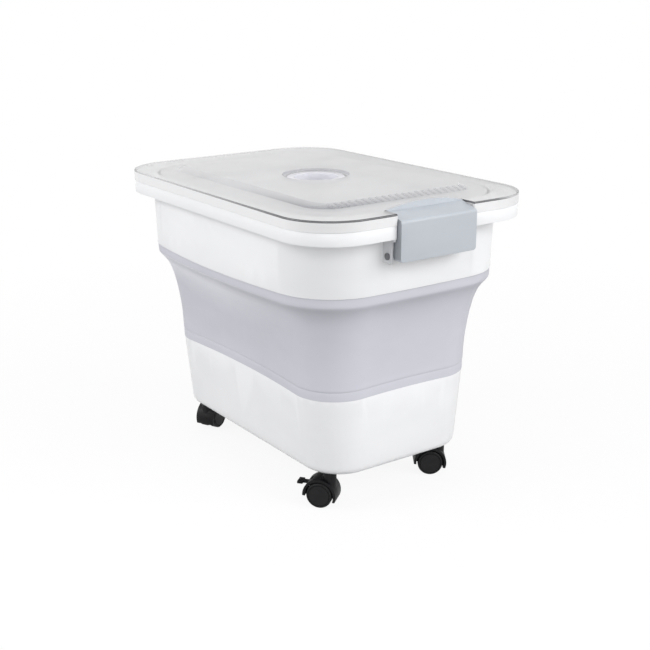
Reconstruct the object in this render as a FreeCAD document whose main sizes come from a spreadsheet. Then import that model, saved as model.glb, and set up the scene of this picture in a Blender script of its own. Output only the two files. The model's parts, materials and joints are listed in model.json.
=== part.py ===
"""Collapsible pet food bin on four twin-wheel casters.

A rigid base tub and a rigid collar are joined by a folding band, so the collar can be pushed
down around the base. A clear lid is hinged at the rear of the collar and held shut by a latch
at the front. A measuring cup sits in a round well in the lid.

Lengths are in millimetres. Z is up and the floor is z = 0. X is the width, Y is the length,
and the latch end faces -Y. The origin is the middle of the footprint on the floor.
"""
import FreeCAD
import Part
import Sketcher
import math
import os

doc = FreeCAD.newDocument("PetFoodBin")

# name, value, meaning
DIMENSIONS = [
    ("hood_to_base", 9.5, "top of caster hood to underside of base tub"),
    ("base_rise", 91.0, "height of base tub"),
    ("band_rise", 124.0, "height of folding band"),
    ("collar_rise", 76.0, "height of collar, bottom edge to top of flange"),
    ("shell_wall", 2.5, "wall of base tub and collar"),
    ("base_floor", 3.0, "floor of base tub"),
    ("base_side_taper", 9.0, "base tub rim to its bottom, at each long side"),
    ("base_end_taper", 3.0, "base tub rim to its bottom, at each short side"),
    ("base_foot_corner", 46.5, "base tub corner radius at its bottom"),
    ("base_edge_round", 8.0, "round along the bottom edge of the base tub"),
    ("band_side_step", 28.3, "collar foot to base rim, at each long side"),
    ("band_end_step", 26.0, "collar foot to base rim, at each short side"),
    ("base_rim_corner", 50.5, "base tub corner radius at its rim"),
    ("base_side_dip", 5.8, "inward bow of the long sides at the rim"),
    ("base_end_dip", 2.4, "inward bow of the short sides at the rim"),
    ("band_wall", 2.0, "wall of folding band"),
    ("band_lip", 12.0, "height of the thick edge at top and bottom of the band"),
    ("band_shoulder", 15.0, "height of the curved shoulder below the upper edge"),
    ("collar_side_flare", 0.8, "collar top to its foot, at each long side"),
    ("collar_foot_corner", 74.0, "collar corner radius at its bottom"),
    ("collar_side_swell", 7.4, "outward bow of the long sides at the collar bottom"),
    ("collar_end_swell", 1.2, "outward bow of the short sides at the collar bottom"),
    ("flange_side_ledge", 12.5, "flange edge to collar wall, at each long side"),
    ("flange_end_ledge", 20.0, "flange edge to collar wall, at each short side"),
    ("collar_top_corner", 68.0, "collar corner radius at its top"),
    ("flange_half_width", 152.0, "flange half width"),
    ("flange_half_length", 219.5, "flange half length"),
    ("flange_corner", 61.5, "flange corner radius"),
    ("flange_drop", 14.0, "height of the turned-down flange edge"),
    ("flange_plate", 3.0, "thickness of flange top"),
    ("flange_skirt", 2.5, "thickness of turned-down flange edge"),
    ("lid_overhang", 0.5, "lid edge beyond the flange edge, all round"),
    ("lid_seat_gap", 0.3, "gap between lid skirt and flange"),
    ("lid_skirt_drop", 12.2, "height of lid border above the skirt bottom"),
    ("lid_wall", 2.5, "wall of lid"),
    ("panel_side_border", 37.0, "lid edge to the raised panel's foot, at each long side"),
    ("panel_end_border", 51.0, "lid edge to the raised panel's foot, at each short side"),
    ("panel_foot_corner", 36.0, "raised lid panel, corner radius at its foot"),
    ("panel_step", 16.0, "inward slope of the raised panel's side"),
    ("panel_rise", 4.5, "height of the raised panel above the border"),
    ("plug_gap", 5.0, "collar inner wall to lid plug rib"),
    ("plug_rib", 3.5, "thickness of lid plug rib"),
    ("plug_drop", 7.5, "depth of plug rib below the flange top"),
    ("seal_height", 4.0, "height of lid seal"),
    ("seal_groove", 1.9, "depth of the seal's groove in the plug rib"),
    ("seal_clearance", 0.3, "seal to groove"),
    ("seal_wall_gap", 0.6, "seal to collar inner wall"),
    ("dish_ledge", 6.0, "measuring cup's rim to the edge of the finger dish"),
    ("dish_depth", 5.0, "depth of finger dish"),
    ("well_radius", 28.5, "cup well, inner radius at its mouth"),
    ("well_depth", 17.5, "cup well depth below the dish"),
    ("well_draft", 2.5, "how much the well narrows toward its floor"),
    ("well_wall", 2.0, "wall of dish and well"),
    ("cup_clearance", 0.5, "measuring cup to well"),
    ("cup_wall", 1.6, "wall of measuring cup"),
    ("cup_rim_width", 5.5, "width of the measuring cup's rim"),
    ("hinge_axis_out", 2.0, "lid hinge axis beyond the flange edge"),
    ("hinge_axis_drop", 1.0, "lid hinge axis below the flange top"),
    ("hinge_radius", 4.0, "radius of hinge knuckles and lugs"),
    ("hinge_pin_radius", 1.8, "radius of hinge pins"),
    ("hinge_fit", 0.05, "hinge pin to its bores"),
    ("hinge_corner_inset", 20.5, "start of the flange corner to the middle of each hinge"),
    ("knuckle_width", 24.0, "width of the lid's hinge knuckle"),
    ("lug_width", 6.0, "width of each collar hinge lug"),
    ("hinge_side_gap", 0.5, "side gap between knuckle and lug"),
    ("hinge_relief", 1.0, "clearance around hinge lugs and knuckles"),
    ("latch_half_width", 51.0, "latch half width"),
    ("latch_wall", 2.8, "latch plate thickness"),
    ("latch_bend", 4.0, "outer radius of the latch bend"),
    ("latch_reach", 26.0, "depth of the latch's top"),
    ("latch_cheek", 11.8, "depth of the latch's side cheeks"),
    ("latch_tall", 50.5, "height of latch, without its arched lip"),
    ("latch_lip_rise", 6.0, "height of the arched lip at its middle"),
    ("latch_lip_wall", 2.5, "thickness of the arched lip"),
    ("latch_stand_off", 3.2, "latch plate to flange edge"),
    ("latch_slot_gap", 1.2, "latch to the lid notch that it lies in"),
    ("latch_pin_radius", 2.5, "radius of latch pin"),
    ("latch_pin_inset", 17.6, "latch pin axis behind the latch's face"),
    ("latch_pin_rise", 4.4, "latch pin axis above the latch's bottom"),
    ("latch_pin_fit", 0.08, "latch pin to its bores"),
    ("latch_pin_head_radius", 3.8, "radius of the latch pin's heads"),
    ("latch_pin_head", 1.0, "thickness of the latch pin's heads"),
    ("latch_boss_radius", 4.3, "radius of the latch's pin bosses"),
    ("latch_boss_width", 12.0, "width of each latch pin boss"),
    ("ear_side_gap", 1.3, "latch side to collar ear"),
    ("ear_width", 2.5, "thickness of each collar ear"),
    ("ear_below_pin", 7.4, "height of collar ears below the latch pin's axis"),
    ("ear_before_pin", 6.5, "collar ears in front of the latch pin's axis"),
    ("caster_side_inset", 23.0, "base tub bottom edge to caster, across"),
    ("caster_end_inset", 30.5, "base tub bottom edge to caster, lengthwise"),
    ("wheel_radius", 15.0, "caster wheel radius"),
    ("wheel_width", 9.2, "caster wheel width"),
    ("wheel_trail", 10.0, "swivel axis to wheel axis"),
    ("wheel_groove", 0.8, "depth of the ring groove in the wheel's face"),
    ("wheel_round", 1.0, "chamfer on the wheel's tread edges"),
    ("web_width", 5.6, "web between the two wheels"),
    ("wheel_side_gap", 0.3, "wheel to web"),
    ("hood_wall", 2.9, "wall of caster hood over the treads"),
    ("hood_gap", 1.6, "tread to caster hood"),
    ("hood_side_cover", 0.2, "caster hood beyond each wheel's outer face"),
    ("hood_edge_drop", 4.0, "wheel axis to the hood's lower edge below it"),
    ("neck_radius", 7.5, "radius of caster neck"),
    ("axle_radius", 2.0, "radius of wheel axle"),
    ("axle_fit", 0.06, "wheel to axle"),
    ("axle_cover", 1.8, "wheel's outer face to the end of the axle"),
    ("stem_radius", 4.0, "radius of caster stem"),
    ("stem_fit", 0.08, "stem to its bores"),
    ("stem_in_base", 16.0, "length of stem inside the base"),
    ("stem_in_neck", 8.7, "length of stem inside the caster neck"),
    ("ferrule_radius", 8.0, "radius of the washer on the stem"),
    ("ferrule_height", 1.6, "thickness of the washer on the stem"),
    ("ferrule_gap", 0.2, "gap above and below the washer"),
    ("boss_radius", 10.0, "radius of the stem bosses in the base"),
    ("boss_cap", 3.0, "closed end of each stem boss"),
    ("lever_half_width", 2.7, "half width of brake lever arm"),
    ("lever_slot_gap", 0.4, "brake lever to its slot"),
    ("lever_pin_radius", 1.2, "radius of brake lever pin"),
    ("lever_pin_fit", 0.1, "brake lever to its pin"),
    ("lever_pin_seat", 1.0, "how far each end of the lever pin is set in the hood"),
    ("lever_knuckle", 2.8, "radius of the brake lever's knuckle"),
    ("lever_pivot_in", 6.0, "hood's far edge back to the brake lever pivot"),
    ("lever_pivot_down", 9.5, "hood's top down to the brake lever pivot"),
    ("lever_lift", 1.0, "middle of the brake lever's arm above its pivot"),
    ("lever_length", 14.0, "pivot to the tip of the brake lever"),
    ("lever_pad_length", 6.5, "length of the brake lever's pad"),
    ("lever_pad_half_width", 6.0, "half width of the brake lever's pad"),
    ("lever_thickness", 3.0, "thickness of the brake lever"),
]

# caster name, side across the bin, side along the bin, resting swivel angle, has a brake
CASTERS = [
    ("front_left", -1, -1, 129.0, True),
    ("front_right", 1, -1, 145.0, False),
    ("rear_left", -1, 1, 28.0, False),
    ("rear_right", 1, 1, 100.0, True),
]

ROUND_STEPS = 4          # flats that make up the round at the base tub's bottom
HOOD_TILT = 8.7          # slope of the hood's lower edge, degrees
LATCH_SLOPE = 15.0       # slope of the latch's top, degrees
OVERCUT = 1.0            # how far a cutting tool runs past the piece it cuts

# level between the band's lower and upper thick edge: share of the way out to the collar
BAND_LOW_SHARE = 0.03
BAND_MIDDLE_SHARE = 0.18
BAND_CREASE_SHARE = 0.46  # the sides are nearly straight here
BAND_HIGH_SHARE = 0.93

X_AXIS = FreeCAD.Vector(1, 0, 0)
Y_AXIS = FreeCAD.Vector(0, 1, 0)


class Size:
    """A length together with the spreadsheet expression that gives it."""

    def __init__(self, value, text):
        self.value = float(value)
        self.text = text

    def __add__(self, other):
        other = size(other)
        return Size(self.value + other.value, f"({self.text} + {other.text})")

    def __sub__(self, other):
        other = size(other)
        return Size(self.value - other.value, f"({self.text} - {other.text})")

    def __mul__(self, other):
        other = size(other)
        return Size(self.value * other.value, f"({self.text} * {other.text})")

    def __truediv__(self, other):
        other = size(other)
        return Size(self.value / other.value, f"({self.text} / {other.text})")

    def __neg__(self):
        return Size(-self.value, f"(0 - {self.text})")

    __radd__ = __add__

    def __rsub__(self, other):
        return size(other) - self

    __rmul__ = __mul__


def size(number):
    """A plain number or a Size, as a Size."""
    return number if isinstance(number, Size) else Size(number, repr(float(number)))


def fill_sheet():
    """Write the named dimensions to the sheet and return them as Size objects by name."""
    sheet = doc.addObject("Spreadsheet::Sheet", "Dimensions")
    named = {}
    for row, (name, value, meaning) in enumerate(DIMENSIONS, start=1):
        sheet.set(f"A{row}", meaning)
        sheet.set(f"B{row}", str(value))
        sheet.setAlias(f"B{row}", name)
        named[name] = Size(value, f"Dimensions.{name}")
    doc.recompute()
    return named


D = fill_sheet()

# sizes that follow others, from the flange inward and down to the casters
D["lid_half_width"] = D["flange_half_width"] + D["lid_overhang"]
D["lid_half_length"] = D["flange_half_length"] + D["lid_overhang"]
D["lid_corner"] = D["flange_corner"] + D["lid_overhang"]
D["panel_foot_half_width"] = D["lid_half_width"] - D["panel_side_border"]
D["panel_foot_half_length"] = D["lid_half_length"] - D["panel_end_border"]
D["collar_top_half_width"] = D["flange_half_width"] - D["flange_side_ledge"]
D["collar_top_half_length"] = D["flange_half_length"] - D["flange_end_ledge"]
D["collar_foot_half_width"] = D["collar_top_half_width"] + D["collar_side_flare"]
D["collar_foot_half_length"] = D["collar_top_half_length"]
D["base_rim_half_width"] = D["collar_foot_half_width"] - D["band_side_step"]
D["base_rim_half_length"] = D["collar_foot_half_length"] - D["band_end_step"]
D["base_foot_half_width"] = D["base_rim_half_width"] - D["base_side_taper"]
D["base_foot_half_length"] = D["base_rim_half_length"] - D["base_end_taper"]
D["caster_side"] = D["base_foot_half_width"] - D["caster_side_inset"]
D["caster_end"] = D["base_foot_half_length"] - D["caster_end_inset"]
D["hinge_spacing"] = D["flange_half_width"] - D["flange_corner"] - D["hinge_corner_inset"]
D["cup_rim_radius"] = D["well_radius"] + D["cup_rim_width"]
D["dish_radius"] = D["cup_rim_radius"] + D["dish_ledge"]
D["hood_radius"] = D["wheel_radius"] + D["hood_gap"] + D["hood_wall"]
D["wheel_face"] = D["web_width"] / 2 + D["wheel_side_gap"] + D["wheel_width"]
D["hood_width"] = (D["wheel_face"] + D["hood_side_cover"]) * 2
D["axle_length"] = (D["wheel_face"] - D["axle_cover"]) * 2
D["lever_pivot_out"] = D["hood_radius"] - D["lever_pivot_in"]
D["lever_pivot_up"] = D["hood_radius"] - D["lever_pivot_down"]


# ---------------------------------------------------------------- levels and shared positions

BASE_BOTTOM = D["wheel_radius"] + D["hood_radius"] + D["hood_to_base"]
BASE_RIM = BASE_BOTTOM + D["base_rise"]
COLLAR_BOTTOM = BASE_RIM + D["band_rise"]
FLANGE_TOP = COLLAR_BOTTOM + D["collar_rise"]
FLANGE_BOTTOM = FLANGE_TOP - D["flange_drop"]
LID_BOTTOM = FLANGE_TOP + D["lid_seat_gap"]
LID_BORDER = LID_BOTTOM + D["lid_skirt_drop"]
LID_UNDER = LID_BORDER - D["lid_wall"]
PANEL_TOP = LID_BORDER + D["panel_rise"]
DISH_FLOOR = PANEL_TOP - D["dish_depth"]
WELL_FLOOR = DISH_FLOOR - D["well_depth"]
HINGE_Y = D["flange_half_length"] + D["hinge_axis_out"]
HINGE_Z = FLANGE_TOP - D["hinge_axis_drop"]
LATCH_FACE = -(D["flange_half_length"] + D["latch_stand_off"] + D["latch_wall"])
LATCH_TOP = LID_BORDER
LATCH_BOTTOM = LATCH_TOP - D["latch_tall"]
LATCH_REAR = LATCH_FACE + D["latch_reach"]
LATCH_RISE = math.tan(math.radians(LATCH_SLOPE))       # rise of its top per length
LATCH_SHOULDER = LATCH_TOP - D["latch_reach"] * LATCH_RISE
LATCH_CHEEK_REAR = LATCH_FACE + D["latch_cheek"]
LATCH_PIN_Y = LATCH_FACE + D["latch_pin_inset"]
LATCH_PIN_Z = LATCH_BOTTOM + D["latch_pin_rise"]
EAR_INNER = D["latch_half_width"] + D["ear_side_gap"]
EAR_OUTER = EAR_INNER + D["ear_width"]
SEAT = D["shell_wall"] / 2          # how far added pieces reach into the wall that carries them


# ---------------------------------------------------------------- building helpers

def bind(obj, **sizes):
    """Set properties from sizes, each as a value and as an expression."""
    for name, amount in sizes.items():
        amount = size(amount)
        setattr(obj, name, amount.value)
        obj.setExpression(name, amount.text)


def put(obj, x=0, y=0, z=0, axis=None, angle=0):
    """Place an object at bound coordinates, turned by a fixed angle about an axis."""
    x, y, z = size(x), size(y), size(z)
    turn = FreeCAD.Rotation(axis or FreeCAD.Vector(0, 0, 1), angle)
    obj.Placement = FreeCAD.Placement(FreeCAD.Vector(x.value, y.value, z.value), turn)
    for letter, amount in (("x", x), ("y", y), ("z", z)):
        obj.setExpression(f".Placement.Base.{letter}", amount.text)
    return obj


def block(name, x, y, z):
    """A box between two bound limits on each axis."""
    obj = doc.addObject("Part::Box", name)
    (x0, x1), (y0, y1), (z0, z1) = [[size(v) for v in pair] for pair in (x, y, z)]
    bind(obj, Length=x1 - x0, Width=y1 - y0, Height=z1 - z0)
    return put(obj, x0, y0, z0)


def rod(name, radius, start, length, axis="z"):
    """A cylinder from a start point along one axis."""
    obj = doc.addObject("Part::Cylinder", name)
    bind(obj, Radius=radius, Height=length)
    turn = {"x": (Y_AXIS, 90), "y": (X_AXIS, -90), "z": (None, 0)}[axis]
    return put(obj, *start, axis=turn[0], angle=turn[1])


def fuse(name, pieces):
    """Join pieces into one solid."""
    obj = doc.addObject("Part::MultiFuse", name)
    obj.Shapes = pieces
    obj.Refine = True
    return obj


def cut(name, base, tools):
    """Take tools away from a base."""
    obj = doc.addObject("Part::Cut", name)
    obj.Base = base
    obj.Tool = tools[0] if len(tools) == 1 else fuse(name + "_tools", tools)
    obj.Refine = True
    return obj


def plane_sketch(body, name, role, offset=0):
    """An empty sketch on one of a body's own planes, lifted by a bound offset."""
    sketch = body.newObject("Sketcher::SketchObject", name)
    plane = [f for f in body.Origin.OriginFeatures if f.Role == role][0]
    sketch.AttachmentSupport = [(plane, "")]
    sketch.MapMode = "FlatFace"
    offset = size(offset)
    sketch.AttachmentOffset = FreeCAD.Placement(
        FreeCAD.Vector(0, 0, offset.value), FreeCAD.Rotation())
    sketch.setExpression(".AttachmentOffset.Base.z", offset.text)
    return sketch


def constrain(sketch, kind, geometry, amount):
    """Add one driving dimension that follows a bound size."""
    amount = size(amount)
    index = sketch.addConstraint(Sketcher.Constraint(kind, *geometry, amount.value))
    sketch.setExpression(f"Constraints[{index}]", amount.text)


def polygon_sketch(body, name, role, points, offset=0, arcs=()):
    """A closed outline through bound points; arcs names the segments that are quarter rounds.

    An arc is given as {segment index: (centre x, centre y, turns clockwise)}.
    """
    sketch = plane_sketch(body, name, role, offset)
    points = [(size(u), size(v)) for u, v in points]
    arcs = dict(arcs)
    count = len(points)
    corner = [FreeCAD.Vector(u.value, v.value, 0) for u, v in points]
    for k in range(count):
        a, b = corner[k], corner[(k + 1) % count]
        if k in arcs:
            cx, cy, clockwise = arcs[k]
            centre = FreeCAD.Vector(size(cx).value, size(cy).value, 0)
            ends = (b, a) if clockwise else (a, b)
            angles = [math.atan2(p.y - centre.y, p.x - centre.x) for p in ends]
            circle = Part.Circle(centre, FreeCAD.Vector(0, 0, 1), (a - centre).Length)
            sketch.addGeometry(Part.ArcOfCircle(circle, angles[0], angles[1]))
        else:
            sketch.addGeometry(Part.LineSegment(a, b))
    for k in range(count):
        here = _end(arcs, k, False)
        following = _end(arcs, (k + 1) % count, True)
        sketch.addConstraint(Sketcher.Constraint(
            "Coincident", k, here, (k + 1) % count, following))
    for k, (u, v) in enumerate(points):
        constrain(sketch, "DistanceX", (-1, 1, k, _end(arcs, k, True)), u)
        constrain(sketch, "DistanceY", (-1, 1, k, _end(arcs, k, True)), v)
    for k, (cx, _, _) in arcs.items():
        constrain(sketch, "DistanceX", (-1, 1, k, 3), cx)
    return sketch


def _end(arcs, k, start):
    """Which end of segment k is its start (or finish) along the outline."""
    reverse = k in arcs and arcs[k][2]
    return 1 if start != reverse else 2


def outline(body, name, level, half_x, half_y, corner, bow_x=None, bow_y=None):
    """A rounded rectangle at a bound height; bows curve the sides outward (or inward if < 0).

    half_x and half_y are measured where the sides meet the corners' tangents.
    """
    sketch = plane_sketch(body, name, "XY_Plane", level)
    half_x, half_y, corner = size(half_x), size(half_y), size(corner)
    if bow_x is None:
        sides = _straight_sides(sketch, half_x, half_y, corner)
    else:
        sides = _bowed_sides(sketch, half_x, half_y, corner, size(bow_x), size(bow_y))
    for k in range(4):
        arc, before, after = 4 + k, sides[k], sides[(k + 1) % 4]
        sketch.addConstraint(Sketcher.Constraint("Tangent", before[0], before[2], arc, 1))
        sketch.addConstraint(Sketcher.Constraint("Tangent", arc, 2, after[0], after[1]))
    constrain(sketch, "Radius", (4,), corner)
    for k in range(1, 4):
        sketch.addConstraint(Sketcher.Constraint("Equal", 4, 4 + k))
    return sketch


def _add_corner_arcs(sketch, centres, radius, ends):
    for (cx, cy), (start, finish) in zip(centres, ends):
        circle = Part.Circle(FreeCAD.Vector(cx, cy, 0), FreeCAD.Vector(0, 0, 1), radius)
        sketch.addGeometry(Part.ArcOfCircle(circle, start, finish))


def _straight_sides(sketch, half_x, half_y, corner):
    """Four straight sides and four quarter corners, counter-clockwise from the +X side."""
    hx, hy, r = half_x.value, half_y.value, corner.value
    lines = [((hx, r - hy), (hx, hy - r)), ((hx - r, hy), (r - hx, hy)),
             ((-hx, hy - r), (-hx, r - hy)), ((r - hx, -hy), (hx - r, -hy))]
    for a, b in lines:
        sketch.addGeometry(Part.LineSegment(FreeCAD.Vector(*a, 0), FreeCAD.Vector(*b, 0)))
    centres = [(hx - r, hy - r), (r - hx, hy - r), (r - hx, r - hy), (hx - r, r - hy)]
    quarter = math.pi / 2
    _add_corner_arcs(sketch, centres, r, [(k * quarter, (k + 1) * quarter) for k in range(4)])
    for k, kind in enumerate(("Vertical", "Horizontal", "Vertical", "Horizontal")):
        sketch.addConstraint(Sketcher.Constraint(kind, k))
    for k, (axis, amount) in enumerate((("X", half_x), ("Y", half_y), ("X", -half_x),
                                        ("Y", -half_y))):
        constrain(sketch, "Distance" + axis, (-1, 1, k, 1), amount)
    return [(k, 1, 2) for k in range(4)]


def _bowed_sides(sketch, half_x, half_y, corner, bow_x, bow_y):
    """Four long arcs and four corner arcs, counter-clockwise from the +X side."""
    radii, middles = [], []
    for half, other, bow in ((half_x, half_y, bow_x), (half_y, half_x, bow_y)):
        chord = other - corner
        radii.append((chord * chord + bow * bow) / (bow * 2))       # negative if bowed inward
        middles.append(half + bow)
    rx, ry = radii[0].value, radii[1].value
    cx, cy, r = middles[0].value - rx, middles[1].value - ry, corner.value
    px, py = _corner_centre(cx, cy, rx - r, ry - r, half_x.value - r, half_y.value - r)
    lean = (math.atan2(py, px - cx) if rx > 0 else math.atan2(-py, cx - px),
            math.atan2(px, py - cy) if ry > 0 else math.atan2(-px, cy - py))
    outward = (rx > 0, ry > 0)
    sides = []
    for k in range(4):
        along_x = k % 2 == 0
        sign = 1 if k < 2 else -1
        centre = (sign * cx, 0, 0) if along_x else (0, sign * cy, 0)
        radius = abs(rx if along_x else ry)
        facing = k * math.pi / 2
        half = abs(lean[0] if along_x else lean[1])
        bulge = outward[0 if along_x else 1]
        middle = facing if bulge else facing + math.pi
        circle = Part.Circle(FreeCAD.Vector(*centre), FreeCAD.Vector(0, 0, 1), radius)
        sketch.addGeometry(Part.ArcOfCircle(circle, middle - half, middle + half))
        sides.append((k, 1, 2) if bulge else (k, 2, 1))
    spans = []
    for k in range(4):
        first, last = lean if k % 2 == 0 else lean[::-1]
        spans.append((k * math.pi / 2 + first, (k + 1) * math.pi / 2 - last))
    _add_corner_arcs(sketch, [(px, py), (-px, py), (-px, -py), (px, -py)], r, spans)
    for k in range(4):
        along_x = k % 2 == 0
        sign = 1 if k < 2 else -1
        radius, middle = (radii[0], middles[0]) if along_x else (radii[1], middles[1])
        outward_side = outward[0 if along_x else 1]
        constrain(sketch, "Radius", (k,), radius if outward_side else -radius)
        centre = (middle - radius) * sign
        constrain(sketch, "DistanceX", (-1, 1, k, 3), centre if along_x else 0)
        constrain(sketch, "DistanceY", (-1, 1, k, 3), 0 if along_x else centre)
    return sides


def _corner_centre(cx, cy, reach_x, reach_y, px, py):
    """Centre of a corner circle that is tangent to both long arcs, by Newton's method."""
    for _ in range(40):
        fx = math.hypot(px - cx, py) - abs(reach_x)
        fy = math.hypot(px, py - cy) - abs(reach_y)
        a, b = (px - cx) / math.hypot(px - cx, py), py / math.hypot(px - cx, py)
        c, d = px / math.hypot(px, py - cy), (py - cy) / math.hypot(px, py - cy)
        det = a * d - b * c
        px -= (fx * d - fy * b) / det
        py -= (a * fy - c * fx) / det
    return px, py


def new_body(name):
    return doc.addObject("PartDesign::Body", name)


def loft(body, name, sections, hollow=False):
    """A ruled loft through outlines, added to or taken from a body."""
    kind = "PartDesign::SubtractiveLoft" if hollow else "PartDesign::AdditiveLoft"
    feature = body.newObject(kind, name)
    feature.Profile = sections[0]
    feature.Sections = sections[1:]
    feature.Ruled = True
    return feature


def pad(body, name, sketch, length, midplane=False):
    feature = body.newObject("PartDesign::Pad", name)
    feature.Profile = sketch
    bind(feature, Length=length)
    feature.Midplane = midplane
    return feature


def pocket(body, name, sketch, length, upward=True):
    feature = body.newObject("PartDesign::Pocket", name)
    feature.Profile = sketch
    bind(feature, Length=length)
    feature.Reversed = upward
    return feature


def turned(body, name, profile):
    """A full revolution of a profile in the XZ plane about Z."""
    sketch = polygon_sketch(body, name + "_profile", "XZ_Plane", profile)
    feature = body.newObject("PartDesign::Revolution", name)
    feature.Profile = sketch
    feature.ReferenceAxis = (sketch, ["V_Axis"])
    feature.Angle = 360
    return feature


def round_edges(body, name, feature, radius, chosen):
    """Round the edges of a feature that pass a test on their bounding box."""
    doc.recompute()
    names = [f"Edge{k}" for k, edge in enumerate(feature.Shape.Edges, start=1)
             if chosen(edge.BoundBox)]
    fillet = body.newObject("PartDesign::Fillet", name)
    fillet.Base = (feature, names)
    bind(fillet, Radius=radius)
    return fillet


def at_level(level):
    """A test for edges that lie flat at one height."""
    return lambda box: abs(box.ZMin - level.value) < 1e-3 and abs(box.ZMax - level.value) < 1e-3


# ---------------------------------------------------------------- rigid shells and the band

def base_rim_outline(body, name, inset):
    return outline(body, name, BASE_RIM, D["base_rim_half_width"] - inset,
                   D["base_rim_half_length"] - inset, D["base_rim_corner"] - inset,
                   -D["base_side_dip"], -D["base_end_dip"])


def base_foot_outlines(body, name, bottom, inset, radius):
    """Outlines up the rounded bottom edge, from the flat floor to the wall."""
    sections = []
    for k in range(ROUND_STEPS + 1):
        turn = math.pi / 2 * k / ROUND_STEPS
        draw_in = radius * (1 - math.sin(turn)) + inset
        sections.append(outline(body, f"{name}_{k}", bottom + radius * (1 - math.cos(turn)),
                                D["base_foot_half_width"] - draw_in,
                                D["base_foot_half_length"] - draw_in,
                                D["base_foot_corner"] - draw_in))
    return sections


def make_base_tub():
    """Tapered tub with a closed boss over each caster stem."""
    body = new_body("base_shell")
    wall, floor = D["shell_wall"], BASE_BOTTOM + D["base_floor"]
    loft(body, "base_outer",
         base_foot_outlines(body, "base_foot", BASE_BOTTOM, 0, D["base_edge_round"])
         + [base_rim_outline(body, "base_rim", 0)])
    loft(body, "base_inner",
         base_foot_outlines(body, "base_inner_foot", floor, wall, D["base_edge_round"] - wall)
         + [base_rim_outline(body, "base_inner_rim", wall)], hollow=True)
    bosses, bores = [], []
    for name, side, end, _, _ in CASTERS:
        spot = (D["caster_side"] * side, D["caster_end"] * end)
        start = BASE_BOTTOM + D["base_floor"] / 2
        reach = D["stem_in_base"] + D["boss_cap"] - D["base_floor"] / 2
        bosses.append(rod("boss_" + name, D["boss_radius"], (*spot, start), reach))
        bores.append(rod("bore_" + name, D["stem_radius"] + D["stem_fit"],
                         (*spot, BASE_BOTTOM), D["stem_in_base"] + D["stem_fit"]))
    return cut("base_tub", fuse("base_with_bosses", [body] + bosses), bores)


def make_folding_band():
    """Soft band between base rim and collar: two thick edges, a curved shoulder and a panel."""
    body = new_body("folding_band")
    rise = D["band_rise"]
    panel = rise - D["band_lip"] * 2 - D["band_shoulder"]
    low = BASE_RIM + D["band_lip"]
    high = COLLAR_BOTTOM - D["band_lip"]
    # height, share of the way out from the base rim to the collar
    stations = [(BASE_RIM, 0.0), (low, BAND_LOW_SHARE), (low + panel / 2, BAND_MIDDLE_SHARE),
                (high - D["band_shoulder"], BAND_CREASE_SHARE), (high, BAND_HIGH_SHARE),
                (COLLAR_BOTTOM, 1.0)]

    def between(first, last, share):
        return D[first] * (1 - share) + D[last] * share

    for part, inset in (("outer", 0), ("inner", D["band_wall"])):
        sections = []
        for k, (level, share) in enumerate(stations):
            side = D["collar_side_swell"] * share - D["base_side_dip"] * (1 - share)
            end = D["collar_end_swell"] * share - D["base_end_dip"] * (1 - share)
            straight = share == BAND_CREASE_SHARE
            sections.append(outline(
                body, f"band_{part}_{k}", level,
                between("base_rim_half_width", "collar_foot_half_width", share) - inset,
                between("base_rim_half_length", "collar_foot_half_length", share) - inset,
                between("base_rim_corner", "collar_foot_corner", share) - inset,
                None if straight else side, None if straight else end))
        loft(body, "band_" + part, sections, hollow=part == "inner")
    return body


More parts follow.
